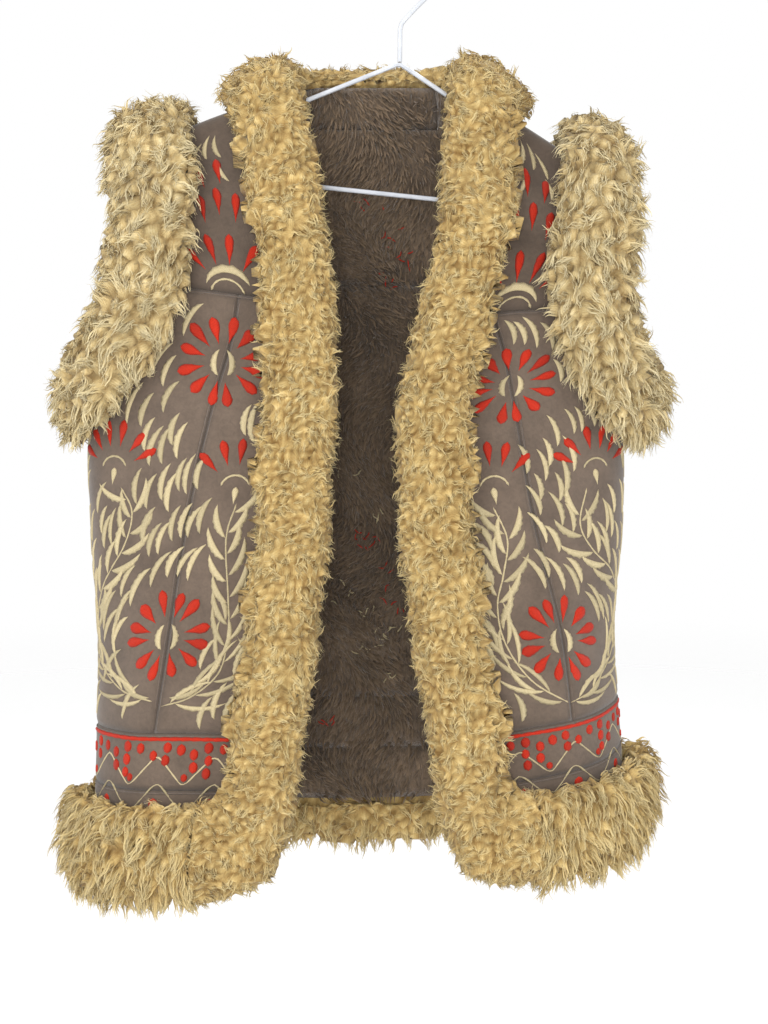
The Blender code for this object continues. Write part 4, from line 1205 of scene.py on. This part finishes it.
def stem_leaves(cream, controls, avoid, spacing):
    """Pairs of leaves down a stem, longer and thinner where it is low, and the places that they take."""
    line = curve(controls, 2.0)
    run = length_along(line)
    taken = []
    for place in np.arange(12.0, run[-1] - 4, spacing):
        at, before = (np.array([np.interp(p, run, axis) for axis in line.T]) for p in (place, place - 4))
        way = before - at
        angle = math.atan2(way[1], way[0])
        low = float(smooth((place / run[-1] - 0.4) / 0.35))
        off, mean_length, width = (top + (foot - top) * low for top, foot in STEM_LEAF)
        for side in (-1, 1):
            lean = angle + side * math.radians(off + cream.rng.uniform(-5, 7))
            length = mean_length + cream.rng.uniform(-4, 4)
            start = at + heading(lean) * 2.5 + way * 0.6 * side
            spots = [start + heading(lean) * length * part for part in (0.0, 0.5, 1.0)]
            if apart(spots, avoid):
                cream.leaf(*start, lean, length, width, side * -0.7)
                taken += spots
    return taken + list(line[::4])


def apart(spots, places):
    """Whether spots are all further from (centre, radius) places than their radius."""
    return all(np.hypot(*(spot - centre)) > radius for spot in spots for centre, radius in places)


def leaf_field(cream, bounds, avoid, taken, first=BORDER + 14, last=YOKE - 8, pitch=(8.0, 15.0), gap=6.4):
    """Slanted rows of leaves wherever a panel is free: bounds(v) gives the first and last u."""
    for row, v in enumerate(np.arange(first, last, pitch[0])):
        low, high = bounds(v)
        for u in np.arange(low + (row % 3) * pitch[1] / 3, high, pitch[1]):
            middle = np.array([u, v]) + cream.rng.uniform(-1.5, 1.5, 2)
            turn = 1 if u > 0 else -1
            lean = 19 + 11 * math.sin(v / 37 + u / 45) + cream.rng.uniform(-6, 6)
            angle = math.radians(90 + turn * lean)
            length = LEAF_LENGTH + cream.rng.uniform(-6, 6)
            way = heading(angle) * length / 2
            spots = [middle - way, middle, middle + way]
            inside = all(low - 3 < u < high + 5 and first - 10 < v < last + 5 for u, v in spots)
            if inside and apart(spots, avoid) and apart(spots, [(other, gap) for other in taken]):
                cream.leaf(*(middle - way), angle, length, cream.rng.uniform(5.4, 7.2), turn * 0.8)
                taken += [middle + way * part for part in (-1.0, -0.5, 0.0, 0.5, 1.0)]


def border(red, cream, low, high):
    """A red line with hanging drops under the border's seam, and two waves of cream chain stitch."""
    red.stem([(low, BORDER - 5.0), (high, BORDER - 5.0)], 4.8, 1.1)
    drops = [(13,), (12, 23, 34), (18, 29), (14,), (12, 23), (19,)]
    for k, u in enumerate(np.arange(low + 6, high - 3, 12.5)):
        for drop in drops[k % len(drops)]:
            red.dot(u + red.rng.uniform(-0.8, 0.8), BORDER - drop, 8.4 + red.rng.uniform(-0.6, 0.6), 1.2)
    for v, shift in ((66.0, 0.0), (43.0, 2.0)):
        turns = np.arange(low, high + 1, 5.0)
        wave = [(u, v + WAVE_HEIGHT * rounded_zigzag((u - low + shift) / WAVE_LENGTH)) for u in turns]
        cream.stem(wave, 2.1, 0.8)
    for u in np.arange(low + 13, high - 6, WAVE_LENGTH):
        red.dot(u, 38.0, 9.4)
        red.dot(u + 25, 60.0, 6.6)


def rounded_zigzag(turns):
    return math.asin(0.96 * math.sin(turns * 2 * math.pi)) / math.asin(0.96)


def make_front_embroidery(side, red_thread, cream_thread):
    red, cream = Needlework(side, SEED + 11), Needlework(side, SEED + 12)
    upper, lower = ROSETTES[side]
    taken = rosette(red, cream, *upper)
    taken += rosette(red, cream, *lower, RING)
    side_fan, trim_fan = FANS[side]
    fan(red, cream, *side_fan, (30, 55, 80, 105, 132, 156))
    fan(red, cream, *trim_fan, (46, 72, 98, 124))
    avoid = [(np.array(upper), UPPER_CLEAR), (np.array(lower), LOWER_CLEAR)]
    avoid += [(np.array(place) + (0, 16), FAN_CLEAR) for place in FANS[side]]
    for controls in STEMS[side]:
        cream.stem(controls)
        taken += stem_leaves(cream, controls, avoid, FRONT_STEM_PITCH)

    def bounds(v):
        return EDGE_WOOL, last_u(side, v) - 6.0 - FRONT_ARM_WOOL * under_armhole(v)

    leaf_field(cream, bounds, avoid, taken, pitch=(5.0, 9.0), gap=5.6)
    u, v = YOKE_FANS[side]
    fan(red, cream, u, v - 8, (50, 73, 97, 122), 15, 27, 54, bud=False)
    cream.leaf(u - 19, v + 4, 0.0, 46, 8.0, -2.2)
    for du, dv, degrees, length, width in YOKE_DROPS:
        red.petal(u + du, v + dv, math.radians(degrees), length, width)
    for du, dv, degrees in YOKE_LEAVES:
        cream.leaf(u + du, v + dv, math.radians(degrees), 26, 5.0, 0.5)
    border(red, cream, EDGE_WOOL + 3, last_u(side, 60) - 5.0)
    red.make(f"stitches_red_front_{side}", red_thread)
    cream.make(f"stitches_cream_front_{side}", cream_thread)


def make_back_embroidery(red_thread, cream_thread):
    """The back repeats the fronts' motifs in a plainer, balanced layout."""
    red, cream = Needlework("back", SEED + 21), Needlework("back", SEED + 22)
    taken, avoid = [], []
    for place, ring in (((0, 404), ()), ((-128, 292), ()), ((128, 292), ()), ((0, 196), RING)):
        taken += rosette(red, cream, *place, ring)
        avoid.append((np.array(place), BACK_CLEAR))
    for mirror in (-1, 1):
        taken += rosette(red, cream, mirror * 152, 168, RING)
        fan(red, cream, mirror * 62, 356, (28, 58, 90, 122, 152))
        avoid += [(np.array([mirror * 152, 168]), BACK_CLEAR), (np.array([mirror * 62, 370]), 31.0)]
        fan(red, cream, mirror * 84, 492, (40, 66, 92, 118, 144), 15, 25, 50)
        cream.leaf(mirror * 84 - 19, 482, 0.0, 46, 8.0, -2.2)
    for mirror in (-1, 1):
        controls = [(mirror * x, y) for x, y in BACK_STEM]
        cream.stem(controls)
        taken += stem_leaves(cream, controls, avoid, BACK_STEM_PITCH)
    fan(red, cream, 0, 500, (28, 52, 78, 102, 128, 152), 17, 27, 54)

    def body(v):
        reach = BACK_REACH - BACK_ARM_WOOL * under_armhole(v)
        return -reach, reach - 4

    def yoke(_):
        return -178.0, 174.0

    leaf_field(cream, body, avoid, taken)
    avoid = [(np.array(place), 56.0) for place in ((84, 492), (-84, 492), (0, 500))]
    leaf_field(cream, yoke, avoid, [], YOKE + 18, COLLAR - 8)
    border(red, cream, -BACK_REACH, BACK_REACH)
    red.make("stitches_red_back", red_thread)
    cream.make("stitches_cream_back", cream_thread)


def under_armhole(v):
    """How much of the armhole's wool a level has, from 0 below it to 1."""
    return float(smooth((v - UNDERARM + 45) / 60))


def make_lining_stitches(red_thread, cream_thread):
    """The embroidery's thread ends, which show through the wool inside the back."""
    for name, material, seed in (("red", red_thread, 31), ("cream", cream_thread, 32)):
        work = Needlework("back", SEED + seed)
        for spot in THREAD_ENDS[name]:
            for _ in range(4):
                angle = work.rng.uniform(0, math.pi)
                start = np.array(spot) + work.rng.normal(0, 5, 2)
                end = start + heading(angle) * work.rng.uniform(4, 10)
                middle = (start + end) / 2 + work.rng.normal(0, 1.4, 2)
                work.stem([start, middle, end], 1.2)
        work.make(f"thread_ends_{name}", material, base=WOOL_DEPTH + 1.9, side=-1.0)


def make_welts(suede):
    """The stitched ridges along the seams between the fronts' panels, and along the yokes and borders."""
    names = (("right", "front_right", 41), ("left", "front_left", 41), ("back", "back", 42))
    for panel, name, seed in names:
        work = Needlework(panel, SEED + seed)
        if panel != "back":
            level = np.arange(BORDER + 2, YOKE - 1, 6.0)
            u = seam_share(panel, level) * width_at(panel, level)
            for off in (-WELT_OFF, WELT_OFF):
                work.stem(np.stack([u + off, level], axis=1), 1.7, 0.7)
        for v in (BAND, BORDER, YOKE):
            last = last_u(panel, v)
            ends = (3, last / 2, last - 2)
            if panel == "back":
                half = float(width_at("back", v)) / 2
                ends = (last_u("back", v, "right") - half + 2, 0, last - half - 2)
            work.stem([(u, v - WELT_UNDER) for u in ends], 1.6, 0.6)
        work.make(f"seam_welts_{name}", suede)


# Camera and light
VIEW_TARGET = (-24.376, 0.0, -491.656)
VIEW_DISTANCE, VIEW_ELEVATION = 1350.0, 5.0
LENS_PIXELS, IMAGE_HEIGHT, SENSOR = 1534.09, 1024, 36.0
FLOOR_Z = -1080.0
FLOOR_RADIUS = 3200.0
LIGHT_AIM = (-45, 0, -450)


def make_camera():
    data = bpy.data.cameras.new("camera")
    data.sensor_width = SENSOR
    data.lens = LENS_PIXELS / IMAGE_HEIGHT * SENSOR
    camera = in_scene("camera", data)
    lean = math.radians(VIEW_ELEVATION)
    x, y, z = VIEW_TARGET
    back, up = VIEW_DISTANCE * math.cos(lean), VIEW_DISTANCE * math.sin(lean)
    camera.location = Vector((x, y - back, z + up)) * MM
    camera.rotation_euler = (math.pi / 2 - lean, 0.0, 0.0)
    bpy.context.scene.camera = camera


def make_floor():
    """A round pale floor that fades out at its rim."""
    n = Nodes("pale_floor")
    far = n.make("ShaderNodeVectorMath", "Value", {0: n.coordinates}, operation="LENGTH")
    n.set(Base_Color=(0.86, 0.86, 0.86, 1.0), Roughness=0.9)
    fade = {0: far, 1: 0.5, 2: FLOOR_RADIUS * MM, 3: 1.0, 4: 0.0}
    n.set(Alpha=n.make("ShaderNodeMapRange", "Result", fade))
    bpy.ops.mesh.primitive_circle_add(
        vertices=96, radius=FLOOR_RADIUS * MM, fill_type="NGON", location=(0, 0, FLOOR_Z * MM)
    )
    floor = bpy.context.object
    floor.name = "floor"
    floor.data.materials.append(n.material)


def make_lights():
    world = bpy.data.worlds.new("studio")
    world.use_nodes = True
    background = world.node_tree.nodes["Background"]
    background.inputs["Color"].default_value = (1.0, 1.0, 1.0, 1.0)
    background.inputs["Strength"].default_value = 1.0
    bpy.context.scene.world = world
    bpy.context.scene.view_settings.view_transform = "Standard"
    for name, place, size, power in (
        ("front", (-60, -2100, -330), 600, 20.0),
        ("key", (-900, -1500, 500), 900, 15.0),
        ("fill", (1300, -1300, -100), 1200, 6.0),
        ("rim", (300, 1500, 700), 1000, 10.0),
    ):
        data = bpy.data.lights.new(name, "AREA")
        data.size = size * MM
        data.energy = power
        light = in_scene(name, data)
        light.location = Vector(place) * MM
        aim = Vector(LIGHT_AIM) * MM - light.location
        light.rotation_euler = aim.to_track_quat("-Z", "Y").to_euler()


make_camera()
make_lights()
make_floor()
suede = suede_material("suede", SUEDE_COLOUR)
yoke_suede = suede_material("yoke_suede", shade_of(SUEDE_COLOUR, YOKE_SHADE))
brown_wool = lining_material()
# The lining's hairs are darker at their roots, partly painted shade down in the fur
brown_hair = pile_material(
    "brown_hair", shade_of(WOOL_BROWN, 0.6), shade_of(WOOL_BROWN, 1.0), shade_of(WOOL_BROWN, 1.6), 0.2
)
long_wool = {
    place: (
        pile_material(f"cream_wool_{place}", root, mid, tip),
        # The underwool's roots are darker still: painted shade under the locks
        pile_material(f"under_wool_{place}", shade_of(root, 0.7), mid, tip, lines=1.0),
    )
    for place, (root, mid, tip) in WOOL_COLOURS.items()
}
red_thread = thread_material("red_thread", RED_THREAD)
cream_thread = thread_material("cream_thread", CREAM_THREAD)

make_panels(suede, yoke_suede, brown_wool)
make_lining_hair(brown_hair)
panel_tree = tree_of(*[row[0] for row in PANELS])
for row in PILES:
    make_pile(row, panel_tree, *long_wool[row[0].split("_")[0]])
make_welts(suede)
for wearer_side in ("right", "left"):
    make_front_embroidery(wearer_side, red_thread, cream_thread)
make_back_embroidery(red_thread, cream_thread)
make_lining_stitches(red_thread, cream_thread)
coating = coating_material()
for node in ("hanger_frame", "hanger_hook"):
    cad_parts[node].data.materials.clear()
    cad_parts[node].data.materials.append(coating)
